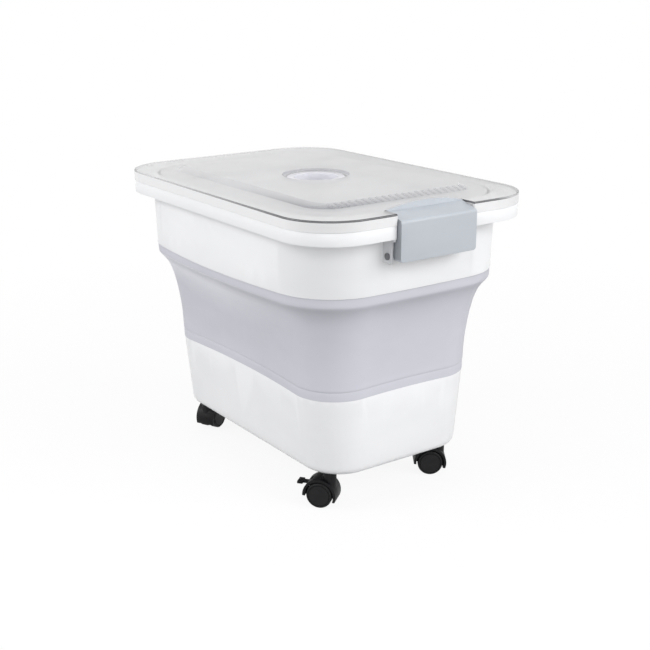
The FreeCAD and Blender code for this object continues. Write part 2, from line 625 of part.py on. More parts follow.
def make_collar():
    """Upper wall with a turned-down flange, two latch ears and four hinge lugs."""
    body = new_body("collar_shell")

    def foot(name, inset):
        return outline(body, name, COLLAR_BOTTOM, D["collar_foot_half_width"] - inset,
                       D["collar_foot_half_length"] - inset, D["collar_foot_corner"] - inset,
                       D["collar_side_swell"], D["collar_end_swell"])

    def top(name, inset):
        return outline(body, name, FLANGE_TOP, D["collar_top_half_width"] - inset,
                       D["collar_top_half_length"] - inset, D["collar_top_corner"] - inset)

    def flange(name, level, inset):
        return outline(body, name, level, D["flange_half_width"] - inset,
                       D["flange_half_length"] - inset, D["flange_corner"] - inset)

    pad(body, "flange_block", flange("flange_outline", FLANGE_BOTTOM, 0), D["flange_drop"])
    pocket(body, "flange_underside", flange("flange_inner", FLANGE_BOTTOM, D["flange_skirt"]),
           D["flange_drop"] - D["flange_plate"])
    loft(body, "collar_outer", [foot("collar_outer_foot", 0), top("collar_outer_top", 0)])
    loft(body, "collar_inner", [foot("collar_inner_foot", D["shell_wall"]),
                                top("collar_inner_top", D["shell_wall"])], hollow=True)
    added, removed = [], []
    ear_bottom = LATCH_PIN_Z - D["ear_below_pin"]
    wall_y = -(D["collar_top_half_length"] - SEAT)
    edge_y = -(D["flange_half_length"] - D["flange_skirt"] / 2)
    recess_half = D["latch_half_width"] + D["latch_slot_gap"]
    recess_rear = LATCH_CHEEK_REAR + D["latch_slot_gap"]
    removed.append(block("latch_recess", (-recess_half, recess_half),
                         (-(D["flange_half_length"] + OVERCUT), recess_rear),
                         (FLANGE_BOTTOM - OVERCUT, FLANGE_TOP + OVERCUT)))
    added.append(block("recess_wall", (-EAR_INNER, EAR_INNER),
                       (recess_rear, recess_rear + D["flange_skirt"]),
                       (FLANGE_BOTTOM, FLANGE_TOP - D["flange_plate"] / 2)))
    for tag, sign in (("left", -1), ("right", 1)):
        limits = (EAR_INNER, EAR_OUTER) if sign > 0 else (-EAR_OUTER, -EAR_INNER)
        added.append(block("ear_" + tag, limits,
                           (LATCH_PIN_Y - D["ear_before_pin"], wall_y),
                           (ear_bottom, FLANGE_BOTTOM)))
        added.append(block("ear_root_" + tag, limits, (edge_y, wall_y),
                           (FLANGE_BOTTOM - D["flange_plate"],
                            FLANGE_TOP - D["flange_plate"] / 2)))
        removed.append(rod("ear_bore_" + tag, D["latch_pin_radius"] + D["latch_pin_fit"],
                           (limits[0] - OVERCUT, LATCH_PIN_Y, LATCH_PIN_Z),
                           D["ear_width"] + OVERCUT * 2, "x"))
        half = D["knuckle_width"] / 2 + D["hinge_side_gap"]
        middle = D["hinge_spacing"] * sign
        removed.append(block("knuckle_gap_" + tag, (middle - half, middle + half),
                             (HINGE_Y - D["hinge_radius"] - D["hinge_relief"],
                              D["flange_half_length"] + OVERCUT),
                             (FLANGE_BOTTOM - OVERCUT, FLANGE_TOP + OVERCUT)))
        for lug, start in (("a", middle - half - D["lug_width"]), ("b", middle + half)):
            spot = (start, HINGE_Y, HINGE_Z)
            added.append(rod(f"lug_{tag}_{lug}", D["hinge_radius"], spot, D["lug_width"], "x"))
            removed.append(rod(f"lug_bore_{tag}_{lug}", D["hinge_pin_radius"] + D["hinge_fit"],
                               (start - OVERCUT, HINGE_Y, HINGE_Z),
                               D["lug_width"] + OVERCUT * 2, "x"))
    return cut("collar", fuse("collar_with_ears", [body] + added), removed)


def make_lid():
    """Clear lid: border with skirt, raised panel, dish and cup well, plug rib, two knuckles."""
    body = new_body("lid_shell")
    wall = D["lid_wall"]

    def border(name, inset):
        return outline(body, name, LID_BOTTOM, D["lid_half_width"] - inset,
                       D["lid_half_length"] - inset, D["lid_corner"] - inset)

    def panel(name, level, inset):
        return outline(body, name, level, D["panel_foot_half_width"] - inset,
                       D["panel_foot_half_length"] - inset, D["panel_foot_corner"] - inset)

    block_feature = pad(body, "border_block", border("border_outline", 0), D["lid_skirt_drop"])
    round_edges(body, "border_edge", block_feature, D["lid_wall"] / 2, at_level(LID_BORDER))
    pocket(body, "border_underside", border("border_inner", wall), D["lid_skirt_drop"] - wall)
    loft(body, "panel_outer", [panel("panel_foot", LID_UNDER, 0),
                               panel("panel_top", PANEL_TOP, D["panel_step"])])
    loft(body, "panel_inner", [panel("panel_inner_foot", LID_UNDER, wall),
                               panel("panel_inner_top", PANEL_TOP - wall,
                                     D["panel_step"] + wall)], hollow=True)
    well = new_body("well_shell")
    t = D["well_wall"]
    mouth, floor = D["well_radius"], D["well_radius"] - D["well_draft"]
    ledge = D["dish_radius"] - D["dish_depth"] / 2
    turned(well, "well_turned", [
        (0, WELL_FLOOR), (floor, WELL_FLOOR), (mouth, DISH_FLOOR), (ledge, DISH_FLOOR),
        (D["dish_radius"], PANEL_TOP), (D["dish_radius"] + t, PANEL_TOP),
        (D["dish_radius"] + t, PANEL_TOP - wall), (ledge + t / 2, DISH_FLOOR - t),
        (mouth + t, DISH_FLOOR - t), (floor + t, WELL_FLOOR - t), (0, WELL_FLOOR - t)])
    dish_hole = rod("dish_hole", D["dish_radius"] + t / 2, (0, 0, LID_UNDER),
                    D["panel_rise"] + wall * 2)
    rib = make_plug_rib()
    knuckles, holes = [], []
    inner_edge = D["lid_half_length"] - wall
    for tag, sign in (("left", -1), ("right", 1)):
        middle = D["hinge_spacing"] * sign
        half = D["knuckle_width"] / 2
        clear = half + D["hinge_side_gap"] * 2 + D["lug_width"]
        holes.append(block("hinge_relief_" + tag, (middle - clear, middle + clear),
                           (inner_edge - OVERCUT, D["lid_half_length"] + OVERCUT),
                           (LID_BOTTOM - OVERCUT, HINGE_Z + D["hinge_radius"] + D["hinge_relief"])))
        knuckles.append(rod("knuckle_" + tag, D["hinge_radius"],
                            (middle - half, HINGE_Y, HINGE_Z), D["knuckle_width"], "x"))
        knuckles.append(block("knuckle_arm_" + tag, (middle - half, middle + half),
                              (HINGE_Y - D["hinge_radius"], HINGE_Y),
                              (HINGE_Z, LID_BORDER - wall / 2)))
    notch_half = D["latch_half_width"] + D["latch_slot_gap"]
    holes.append(block("latch_notch", (-notch_half, notch_half),
                       (-(D["lid_half_length"] + OVERCUT), LATCH_REAR + D["latch_slot_gap"]),
                       (LID_BOTTOM - OVERCUT, LID_BORDER + OVERCUT)))
    shell = cut("lid_cut", body, [dish_hole] + holes)
    joined = fuse("lid_joined", [shell, well, rib] + knuckles)
    bores = [rod("knuckle_bore_" + tag, D["hinge_pin_radius"] + D["hinge_fit"],
                 (D["hinge_spacing"] * sign - D["knuckle_width"], HINGE_Y, HINGE_Z),
                 D["knuckle_width"] * 2, "x") for tag, sign in (("left", -1), ("right", 1))]
    return cut("lid", joined, bores)


def plug_inset():
    """Collar's outer wall to the outer face of the plug rib."""
    return D["shell_wall"] + D["plug_gap"] - D["seal_groove"]


def plug_outline(body, name, level, inset):
    return outline(body, name, level, D["collar_top_half_width"] - inset,
                   D["collar_top_half_length"] - inset, D["collar_top_corner"] - inset)


def make_plug_rib():
    """Rib under the lid that enters the collar; its lower part is set back for the seal."""
    body = new_body("plug_rib_shell")
    bottom = FLANGE_TOP - D["plug_drop"]
    outer = plug_inset()
    back = outer + D["seal_groove"]
    inner = outer + D["plug_rib"]
    step = bottom + D["seal_height"] + D["seal_clearance"]
    pad(body, "rib_upper", plug_outline(body, "rib_upper_outline", step, outer),
        LID_UNDER + D["lid_wall"] / 2 - step)
    pad(body, "rib_lower", plug_outline(body, "rib_lower_outline", bottom, back), step - bottom)
    pocket(body, "rib_inside", plug_outline(body, "rib_inner_outline", bottom, inner),
           LID_UNDER + D["lid_wall"] - bottom)
    return body


def make_lid_seal():
    """Soft ring in the plug rib's groove."""
    body = new_body("lid_seal")
    bottom = FLANGE_TOP - D["plug_drop"]
    outer = D["shell_wall"] + D["seal_wall_gap"]
    inner = plug_inset() + D["seal_groove"] - D["seal_clearance"]
    pad(body, "seal_block", plug_outline(body, "seal_outline", bottom, outer), D["seal_height"])
    pocket(body, "seal_inside", plug_outline(body, "seal_inner", bottom, inner),
           D["seal_height"])
    return body


def make_measuring_cup():
    """Small cup whose rim rests on the floor of the dish."""
    body = new_body("measuring_cup")
    gap, wall = D["cup_clearance"], D["cup_wall"]
    mouth = D["well_radius"] - gap
    floor = mouth - D["well_draft"]
    under = DISH_FLOOR + gap
    low = WELL_FLOOR + gap
    turned(body, "cup_turned", [
        (0, low), (floor, low), (mouth, under), (D["cup_rim_radius"], under),
        (D["cup_rim_radius"], under + wall), (mouth - wall, under + wall),
        (floor - wall, low + wall), (0, low + wall)])
    return body


# ---------------------------------------------------------------- latch and pins

def latch_top_at(y):
    """Height of the latch's sloping top, at one place along Y."""
    return LATCH_SHOULDER + (y - LATCH_FACE) * LATCH_RISE


def make_latch_plate():
    """Front plate and sloping top, bent from one sheet, with a cheek at each side."""
    body = new_body("latch_plate")
    t, bend = D["latch_wall"], D["latch_bend"]
    slope = math.radians(LATCH_SLOPE)
    lean, level = math.sin(slope), math.cos(slope)
    centre_y = LATCH_FACE + bend
    centre_z = latch_top_at(centre_y) - bend / level
    inner = bend - t
    points = [
        (LATCH_FACE, LATCH_BOTTOM), (LATCH_FACE + t, LATCH_BOTTOM), (LATCH_FACE + t, centre_z),
        (centre_y - inner * lean, centre_z + inner * level),
        (LATCH_REAR, LATCH_TOP - t / level), (LATCH_REAR, LATCH_TOP),
        (centre_y - bend * lean, centre_z + bend * level), (LATCH_FACE, centre_z)]
    sketch = polygon_sketch(body, "latch_section", "YZ_Plane", points,
                            arcs={2: (centre_y, centre_z, True),
                                  6: (centre_y, centre_z, False)})
    pad(body, "latch_bent", sketch, D["latch_half_width"] * 2, midplane=True)
    front = LATCH_FACE + t / 2
    cheek = [(front, LATCH_BOTTOM), (LATCH_CHEEK_REAR, LATCH_BOTTOM),
             (LATCH_CHEEK_REAR, latch_top_at(LATCH_CHEEK_REAR) - t / 2),
             (centre_y, latch_top_at(centre_y) - t / 2), (front, centre_z)]
    for tag, start in (("left", -D["latch_half_width"]), ("right", D["latch_half_width"] - t)):
        side = polygon_sketch(body, "cheek_section_" + tag, "YZ_Plane", cheek, offset=start)
        pad(body, "cheek_" + tag, side, t)
    return body


def make_latch():
    """Latch plate with an arched lip along its rear edge and two pin bosses at its bottom."""
    body = make_latch_plate()
    t = D["latch_wall"]
    rise = D["latch_lip_rise"]
    chord = D["latch_half_width"]
    radius = (chord * chord + rise * rise) / (rise * 2)
    lip_front = LATCH_REAR - D["latch_lip_wall"]
    disc = rod("lip_disc", radius, (0, lip_front, LATCH_TOP + rise - radius),
               D["latch_lip_wall"], "y")
    window = block("lip_window", (-chord, chord), (lip_front, LATCH_REAR),
                   (LATCH_TOP - t / 2, LATCH_TOP + rise + OVERCUT))
    lip = doc.addObject("Part::Common", "latch_lip")
    lip.Base, lip.Tool = disc, window
    bosses = []
    for tag, start in (("left", -D["latch_half_width"]),
                       ("right", D["latch_half_width"] - D["latch_boss_width"])):
        spot = (start, LATCH_PIN_Y, LATCH_PIN_Z)
        bosses.append(rod("latch_boss_" + tag, D["latch_boss_radius"], spot,
                          D["latch_boss_width"], "x"))
        bosses.append(block("latch_web_" + tag, (start, start + D["latch_boss_width"]),
                            (LATCH_FACE + t / 2, LATCH_PIN_Y),
                            (LATCH_PIN_Z, LATCH_PIN_Z + D["latch_boss_radius"])))
    bore = rod("latch_bore", D["latch_pin_radius"] + D["latch_pin_fit"],
               (-(D["latch_half_width"] + OVERCUT), LATCH_PIN_Y, LATCH_PIN_Z),
               (D["latch_half_width"] + OVERCUT) * 2, "x")
    return cut("latch", fuse("latch_joined", [body, lip] + bosses), [bore])


def make_latch_pin():
    """Steel pin through both ears, with a flat head at each end."""
    shank = rod("pin_shank", D["latch_pin_radius"], (-EAR_OUTER, LATCH_PIN_Y, LATCH_PIN_Z),
                EAR_OUTER * 2, "x")
    heads = [rod("pin_head_" + tag, D["latch_pin_head_radius"],
                 (start, LATCH_PIN_Y, LATCH_PIN_Z), D["latch_pin_head"], "x")
             for tag, start in (("left", -(EAR_OUTER + D["latch_pin_head"])),
                                ("right", EAR_OUTER))]
    return fuse("latch_pin", [shank] + heads)


def make_hinge_pins():
    """Two short pins, one through each rear hinge."""
    length = D["knuckle_width"] + (D["hinge_side_gap"] + D["lug_width"]) * 2
    pins = [rod("hinge_pin_" + tag, D["hinge_pin_radius"],
                (D["hinge_spacing"] * sign - length / 2, HINGE_Y, HINGE_Z), length, "x")
            for tag, sign in (("left", -1), ("right", 1))]
    group = doc.addObject("Part::Compound", "hinge_pins")
    group.Links = pins
    return group


# ---------------------------------------------------------------- casters

def stand(obj, side, end, angle):
    """Move a caster piece from the bin's middle to its corner, at its resting swivel angle."""
    return put(obj, D["caster_side"] * side, D["caster_end"] * end, 0, angle=angle)


def make_stem(name):
    """Steel stem with a washer; it stays in the base while the hood swivels on it."""
    washer_bottom = BASE_BOTTOM - D["ferrule_gap"] - D["ferrule_height"]
    neck_top = washer_bottom - D["ferrule_gap"]
    length = D["stem_in_neck"] + D["ferrule_gap"] * 2 + D["ferrule_height"] + D["stem_in_base"]
    shaft = rod("stem_shaft_" + name, D["stem_radius"], (0, 0, neck_top - D["stem_in_neck"]),
                length)
    washer = rod("stem_washer_" + name, D["ferrule_radius"], (0, 0, washer_bottom),
                 D["ferrule_height"])
    return fuse("caster_stem_" + name, [shaft, washer])


def make_hood(name, braked):
    """Drum-shaped hood over two wheels, a web between them and a neck for the stem."""
    centre_x, centre_z = D["wheel_trail"], D["wheel_radius"]
    hood_radius, half = D["hood_radius"], D["hood_width"] / 2
    neck_top = BASE_BOTTOM - D["ferrule_gap"] * 2 - D["ferrule_height"]
    drum = rod("drum_" + name, hood_radius, (centre_x, -half, centre_z), D["hood_width"], "y")
    neck = rod("neck_" + name, D["neck_radius"], (0, 0, centre_z), neck_top - centre_z)
    solid = fuse("hood_solid_" + name, [drum, neck])
    cavity_radius = D["wheel_radius"] + D["hood_gap"]
    web = D["web_width"] / 2
    tools = [
        rod("cavity_a_" + name, cavity_radius, (centre_x, web, centre_z),
            half - web + OVERCUT, "y"),
        rod("cavity_b_" + name, cavity_radius, (centre_x, -half - OVERCUT, centre_z),
            half - web + OVERCUT, "y"),
        rod("stem_bore_" + name, D["stem_radius"] + D["stem_fit"],
            (0, 0, neck_top - D["stem_in_neck"] - D["ferrule_gap"]),
            D["stem_in_neck"] + D["ferrule_gap"] * 2),
        rod("axle_bore_" + name, D["axle_radius"], (centre_x, -half, centre_z),
            D["hood_width"], "y"),
    ]
    lower = doc.addObject("Part::Box", "hood_lower_" + name)
    bind(lower, Length=hood_radius * 4, Width=D["hood_width"] * 2, Height=hood_radius * 2)
    tilt = math.radians(HOOD_TILT)
    edge_z = centre_z - D["hood_edge_drop"]
    drop = hood_radius * 2
    put(lower, centre_x - drop * math.cos(tilt) + drop * math.sin(tilt), -D["hood_width"],
        edge_z - drop * math.sin(tilt) - drop * math.cos(tilt), axis=Y_AXIS, angle=-HOOD_TILT)
    tools.append(lower)
    if braked:
        slot = D["lever_half_width"] + D["lever_slot_gap"]
        reach = D["lever_knuckle"] + D["hinge_relief"]
        px, pz = centre_x + D["lever_pivot_out"], centre_z + D["lever_pivot_up"]
        tools.append(block("lever_slot_" + name,
                           (px - reach, centre_x + hood_radius + OVERCUT), (-slot, slot),
                           (pz - reach * 2, centre_z + hood_radius + OVERCUT)))
        opened = cut("hood_open_" + name, solid, tools)
        seat = slot + D["lever_pin_seat"]
        pin = rod("lever_pin_" + name, D["lever_pin_radius"], (px, -seat, pz), seat * 2, "y")
        return fuse("caster_hood_" + name, [opened, pin])
    return cut("caster_hood_" + name, solid, tools)


def make_axle(name):
    return rod("caster_axle_" + name, D["axle_radius"],
               (D["wheel_trail"], -D["axle_length"] / 2, D["wheel_radius"]),
               D["axle_length"], "y")


def make_wheel(name, hand):
    """One wheel, turned about Z and laid on its side; its outer face has a ring groove."""
    body = new_body(f"wheel_body_{name}_{hand}")
    r, w, c = D["wheel_radius"], D["wheel_width"], D["wheel_round"]
    bore = D["axle_radius"] + D["axle_fit"]
    depth = D["axle_length"] / 2 - D["web_width"] / 2
    groove = D["wheel_groove"]
    turned(body, f"wheel_turned_{name}_{hand}", [
        (bore, 0), (r - c, 0), (r, c), (r, w - c), (r - c, w), (r - c - groove, w),
        (r - c - groove * 1.5, w - groove), (r - c - groove * 2.5, w - groove),
        (r - c - groove * 3, w), (0, w), (0, depth), (bore, depth)])
    offset = D["web_width"] / 2 + D["wheel_side_gap"]
    turn, y = (-90, offset) if hand == "a" else (90, -offset)
    put(body, D["wheel_trail"], y, D["wheel_radius"], axis=X_AXIS, angle=turn)
    return body


def make_lever(name):
    """Foot lever of a braked caster."""
    px = D["wheel_trail"] + D["lever_pivot_out"]
    pz = D["wheel_radius"] + D["lever_pivot_up"]
    half, thick = D["lever_half_width"], D["lever_thickness"]
    knuckle = rod("lever_knuckle_" + name, D["lever_knuckle"], (px, -half, pz), half * 2, "y")
    middle = pz + D["lever_lift"]
    span = (middle - thick / 2, middle + thick / 2)
    arm = block("lever_arm_" + name, (px, px + D["lever_length"]), (-half, half), span)
    wide = D["lever_pad_half_width"]
    plate = block("lever_pad_" + name,
                  (px + D["lever_length"] - D["lever_pad_length"], px + D["lever_length"]),
                  (-wide, wide), span)
    bore = rod("lever_bore_" + name, D["lever_pin_radius"] + D["lever_pin_fit"],
               (px, -half - OVERCUT, pz), (half + OVERCUT) * 2, "y")
    return cut("brake_lever_" + name, fuse("lever_solid_" + name, [knuckle, arm, plate]), [bore])


def make_caster(name, side, end, angle, braked):
    """All pieces of one caster, by node name."""
    pieces = {
        "caster_stem_" + name: make_stem(name),
        "caster_hood_" + name: make_hood(name, braked),
    }
    if braked:
        pieces["brake_lever_" + name] = make_lever(name)
    for obj in pieces.values():
        stand(obj, side, end, angle)
    bare = {"caster_axle_" + name: make_axle(name)}
    for hand in ("a", "b"):
        bare[f"wheel_{name}_{hand}"] = make_wheel(name, hand)
    for node, obj in bare.items():
        holder = doc.addObject("Part::Compound", node + "_node")
        holder.Links = [obj]
        pieces[node] = stand(holder, side, end, angle)
    return pieces


# ---------------------------------------------------------------- assembly

def build():
    nodes = {
        "base_tub": make_base_tub(),
        "folding_band": make_folding_band(),
        "collar": make_collar(),
        "lid": make_lid(),
        "lid_seal": make_lid_seal(),
        "measuring_cup": make_measuring_cup(),
        "latch": make_latch(),
        "latch_pin": make_latch_pin(),
        "hinge_pins": make_hinge_pins(),
    }
    for name, side, end, angle, braked in CASTERS:
        nodes.update(make_caster(name, side, end, angle, braked))
    doc.recompute()
    return nodes


def check(nodes):
    """Stop if any object failed or any piece has no valid shape."""
    for obj in doc.Objects:
        if {"Invalid", "Error"} & set(obj.State):
            raise RuntimeError(f"{obj.Name} did not compute: {obj.State}")
    for name, obj in nodes.items():
        shape = obj.Shape
        if shape.isNull() or not shape.isValid() or not shape.Solids:
            raise RuntimeError(f"{name} has no valid solid")


def export(nodes):
    os.makedirs("parts", exist_ok=True)
    for name, obj in nodes.items():
        obj.Label = name
        obj.Shape.exportStep(f"parts/{name}.step")


NODES = build()
check(NODES)
export(NODES)
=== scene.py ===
"""Collapsible pet food bin: finishes, soft band, lid details and studio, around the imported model.

Lengths are in metres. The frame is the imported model's own: Z up, the floor at z = 0, X across
the bin, Y along it, and the latch end facing -Y.
"""
import json
import logging
import math
from collections.abc import Callable
from dataclasses import dataclass, field
from enum import Enum

import bmesh
import bpy
from mathutils import Matrix, Vector

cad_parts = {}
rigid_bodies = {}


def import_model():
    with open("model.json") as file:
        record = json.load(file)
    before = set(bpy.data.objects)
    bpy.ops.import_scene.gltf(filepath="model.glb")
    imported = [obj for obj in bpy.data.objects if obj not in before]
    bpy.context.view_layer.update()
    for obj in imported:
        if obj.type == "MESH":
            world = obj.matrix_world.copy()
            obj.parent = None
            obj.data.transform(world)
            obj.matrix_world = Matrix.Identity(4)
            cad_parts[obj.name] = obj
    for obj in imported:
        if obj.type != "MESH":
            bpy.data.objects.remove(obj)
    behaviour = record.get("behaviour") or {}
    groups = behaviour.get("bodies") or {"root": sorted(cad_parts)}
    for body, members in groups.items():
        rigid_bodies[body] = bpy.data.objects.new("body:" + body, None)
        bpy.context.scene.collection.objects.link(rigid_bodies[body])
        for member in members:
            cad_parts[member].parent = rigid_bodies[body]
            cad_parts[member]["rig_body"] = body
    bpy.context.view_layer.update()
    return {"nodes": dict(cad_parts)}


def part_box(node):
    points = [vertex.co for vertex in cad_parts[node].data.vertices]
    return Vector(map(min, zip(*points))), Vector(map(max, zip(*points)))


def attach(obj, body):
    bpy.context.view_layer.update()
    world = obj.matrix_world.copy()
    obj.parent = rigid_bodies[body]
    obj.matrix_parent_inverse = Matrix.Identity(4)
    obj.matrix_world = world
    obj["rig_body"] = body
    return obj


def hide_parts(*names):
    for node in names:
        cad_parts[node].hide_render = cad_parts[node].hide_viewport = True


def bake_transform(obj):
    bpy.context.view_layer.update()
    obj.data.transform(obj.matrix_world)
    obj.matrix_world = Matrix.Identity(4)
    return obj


LOG = logging.getLogger("pet_food_bin")
WHITE_LIGHT = (1.0, 1.0, 1.0, 1.0)
# the Mix node's two colour inputs and its colour output
MIX_FIRST, MIX_SECOND, MIX_RESULT = 6, 7, 2
# the part of a noise pattern's range that holds most of its values
NOISE_MIDDLE = (0.3, 0.7)

# the latch and the collar's two ears beside it
EAR_INNER_SIDE, EAR_OUTER_SIDE = 0.0518, 0.0553
EAR_FRONT, EAR_TOP = -0.2005, 0.3205
LATCH_CHEEK_SIDE, LATCH_CHEEK_FRONT = 0.0508, -0.2245
LATCH_CORNER_SIDE, LATCH_CORNER_TOP, LATCH_CORNER_RUN = 0.0509, 0.2972, 0.004

Point = tuple[float, float, float]
Colour = tuple[float, float, float]
Value = bpy.types.NodeSocket | float
Sockets = tuple[bpy.types.NodeSocket, ...]


# ---------------------------------------------------------------- finishes

class NodeSheet:
    """The node tree of a material or a world, with short calls that add and join nodes."""

    def __init__(self, name: str, is_world: bool = False) -> None:
        """Start an empty node material, or an empty world.

        Args:
            name: its name.
            is_world: whether it is a world.
        """
        self.owner = (bpy.data.worlds if is_world else bpy.data.materials).new(name)
        self.owner.use_nodes = True
        self.end = "OutputWorld" if is_world else "OutputMaterial"
        self.tree = self.owner.node_tree
        self.tree.nodes.clear()

    def add(self, kind: str, **settings: object) -> bpy.types.Node:
        """Add one node.

        Args:
            kind: the node's type, without its "ShaderNode" start.
            settings: properties to set on the node.

        Returns:
            The new node.
        """
        node = self.tree.nodes.new("ShaderNode" + kind)
        for key, value in settings.items():
            setattr(node, key, value)
        return node

    def join(self, source: bpy.types.NodeSocket, target: bpy.types.NodeSocket) -> None:
        """Link two sockets.

        Args:
            source: the output that gives the value.
            target: the input that takes it.
        """
        self.tree.links.new(source, target)

    def noise(self, scale: float, detail: float, stretch: Point = (1.0, 1.0, 1.0)
              ) -> bpy.types.NodeSocket:
        """A noise pattern fixed to the piece.

        Args:
            scale: cells per metre.
            detail: octaves.
            stretch: how much finer the pattern is along each axis.

        Returns:
            The pattern's value socket.
        """
        place = self.add("TexCoord")
        mapping = self.add("Mapping")
        mapping.inputs["Scale"].default_value = stretch
        self.join(place.outputs["Object"], mapping.inputs["Vector"])
        pattern = self.add("TexNoise")
        pattern.inputs["Scale"].default_value = scale
        pattern.inputs["Detail"].default_value = detail
        self.join(mapping.outputs["Vector"], pattern.inputs["Vector"])
        return pattern.outputs["Fac"]

    def spread(self, value: bpy.types.NodeSocket, low: float, high: float
               ) -> bpy.types.NodeSocket:
        """Map a pattern's middle range to other limits.

        Args:
            value: the pattern.
            low: what its low part becomes.
            high: what its high part becomes.

        Returns:
            The mapped value socket.
        """
        return self.ramp(value, NOISE_MIDDLE, (low, high))

    def blend_colours(self, share: bpy.types.NodeSocket,
                      first: Colour | bpy.types.NodeSocket, second: Colour
                      ) -> bpy.types.NodeSocket:
        """Mix two colours by a pattern.

        Args:
            share: the pattern.
            first: the colour, or the colour socket, where it is 0.
            second: the colour where it is 1.

        Returns:
            The colour socket.
        """
        node = self.add("Mix", data_type="RGBA")
        if isinstance(first, tuple):
            node.inputs[MIX_FIRST].default_value = (*first, 1.0)
        else:
            self.join(first, node.inputs[MIX_FIRST])
        node.inputs[MIX_SECOND].default_value = (*second, 1.0)
        self.join(share, node.inputs["Factor"])
        return node.outputs[MIX_RESULT]

    def maths(self, operation: str, first: bpy.types.NodeSocket, second: Value = 0.0
              ) -> bpy.types.NodeSocket:
        """One step of arithmetic.

        Args:
            operation: the Math node's operation.
            first: the first value.
            second: the second value, a socket or a number.

        Returns:
            The result's socket.
        """
        node = self.add("Math", operation=operation)
        self.join(first, node.inputs[0])
        if isinstance(second, float):
            node.inputs[1].default_value = second
        else:
            self.join(second, node.inputs[1])
        return node.outputs[0]

    def ramp(self, value: bpy.types.NodeSocket, limits: tuple[float, float],
             results: tuple[float, float] = (0.0, 1.0)) -> bpy.types.NodeSocket:
        """Turn one range of a value evenly into another, clamped at both ends.

        Args:
            value: the value.
            limits: where the ramp starts and ends.
            results: what it gives there.

        Returns:
            The result's socket.
        """
        node = self.add("MapRange")
        node.inputs["From Min"].default_value, node.inputs["From Max"].default_value = limits
        node.inputs["To Min"].default_value, node.inputs["To Max"].default_value = results
        self.join(value, node.inputs["Value"])
        return node.outputs["Result"]

    def axes(self, output: str) -> Sockets:
        """The three parts of the place or of the surface's direction.

        Args:
            output: "Object" for the place, "Normal" for the direction.

        Returns:
            The sockets across, along and above the bin.
        """
        place = self.add("TexCoord")
        parts = self.add("SeparateXYZ")
        self.join(place.outputs[output], parts.inputs[0])
        return tuple(parts.outputs)

    def bump(self, height: bpy.types.NodeSocket, depth: float) -> bpy.types.NodeSocket:
        """Turn a pattern into surface relief.

        Args:
            height: the pattern.
            depth: its height in metres.

        Returns:
            The normal socket.
        """
        node = self.add("Bump")
        node.inputs["Distance"].default_value = depth
        node.inputs["Strength"].default_value = 1.0
        self.join(height, node.inputs["Height"])
        return node.outputs["Normal"]

    def seen(self) -> bpy.types.NodeSocket:
        """Tell what is looked at from what only gives light.

        Returns:
            1 on rays from the camera, in mirrors and through plastic, and 0 on all others.
        """
        rays = self.add("LightPath")
        direct = self.maths("MAXIMUM", rays.outputs["Is Camera Ray"],
                            rays.outputs["Is Glossy Ray"])
        return self.maths("MAXIMUM", direct, rays.outputs["Is Transmission Ray"])

    def mix_shaders(self, share: bpy.types.NodeSocket, first: bpy.types.NodeSocket,
                    second: bpy.types.NodeSocket) -> bpy.types.NodeSocket:
        """Mix two shaders.

        Args:
            share: how much of the second shows.
            first: the shader where the share is 0.
            second: the shader where it is 1.

        Returns:
            The mixed shader's socket.
        """
        node = self.add("MixShader")
        for place, source in enumerate((share, first, second)):
            self.join(source, node.inputs[place])
        return node.outputs[0]

    def close(self, surface: bpy.types.NodeSocket) -> bpy.types.Material | bpy.types.World:
        """Join the surface to the output.

        Args:
            surface: the shader's socket.

        Returns:
            The finished material or world.
        """
        self.join(surface, self.add(self.end).inputs["Surface"])
        return self.owner


@dataclass(frozen=True)
class MouldedPlastic:
    """Opaque moulded plastic with faint flow clouds, fine grain, uneven gloss and, if given,
    painted light on downward-facing faces.
    """

    name: str
    colour: Colour
    cloud: Colour
    roughness: float
    gloss_drift: float = 0.08
    gloss_scale: float = 70.0
    cloud_scale: float = 14.0
    cloud_stretch: Point = (1.0, 1.0, 2.2)
    grain_scale: float = 700.0
    grain_depth: float = 0.00001
    shine: float = 0.5
    # painted light: a lighter colour on downward-facing faces, which would be in shade, and where
    # it starts and is full
    painted_light_colour: Colour | None = None
    painted_light_slope: tuple[float, float] = (-0.22, -0.5)
    painted_light_along: tuple[float, float] = (-0.16, 0.02)

    def build(self) -> bpy.types.Material:
        """Make the material.

        Returns:
            The finished material.
        """
        sheet = NodeSheet(self.name)
        shader = sheet.add("BsdfPrincipled")
        clouds = sheet.noise(self.cloud_scale, 3.0, self.cloud_stretch)
        tint = sheet.blend_colours(sheet.spread(clouds, 0.0, 1.0), self.colour, self.cloud)
        # painted light: downward-facing faces turn lighter, fading out towards the latch end
        if self.painted_light_colour:
            painted_light = sheet.maths("MULTIPLY",
                                sheet.ramp(sheet.axes("Normal")[2], self.painted_light_slope),
                                sheet.ramp(sheet.axes("Object")[1], self.painted_light_along))
            tint = sheet.blend_colours(painted_light, tint, self.painted_light_colour)
        sheet.join(tint, shader.inputs["Base Color"])
        gloss = sheet.spread(sheet.noise(self.gloss_scale, 4.0),
                             self.roughness - self.gloss_drift,
                             self.roughness + self.gloss_drift)
        sheet.join(gloss, shader.inputs["Roughness"])
        grain = sheet.bump(sheet.noise(self.grain_scale, 2.0), self.grain_depth)
        sheet.join(grain, shader.inputs["Normal"])
        shader.inputs["Specular IOR Level"].default_value = self.shine
        return sheet.close(shader.outputs["BSDF"])


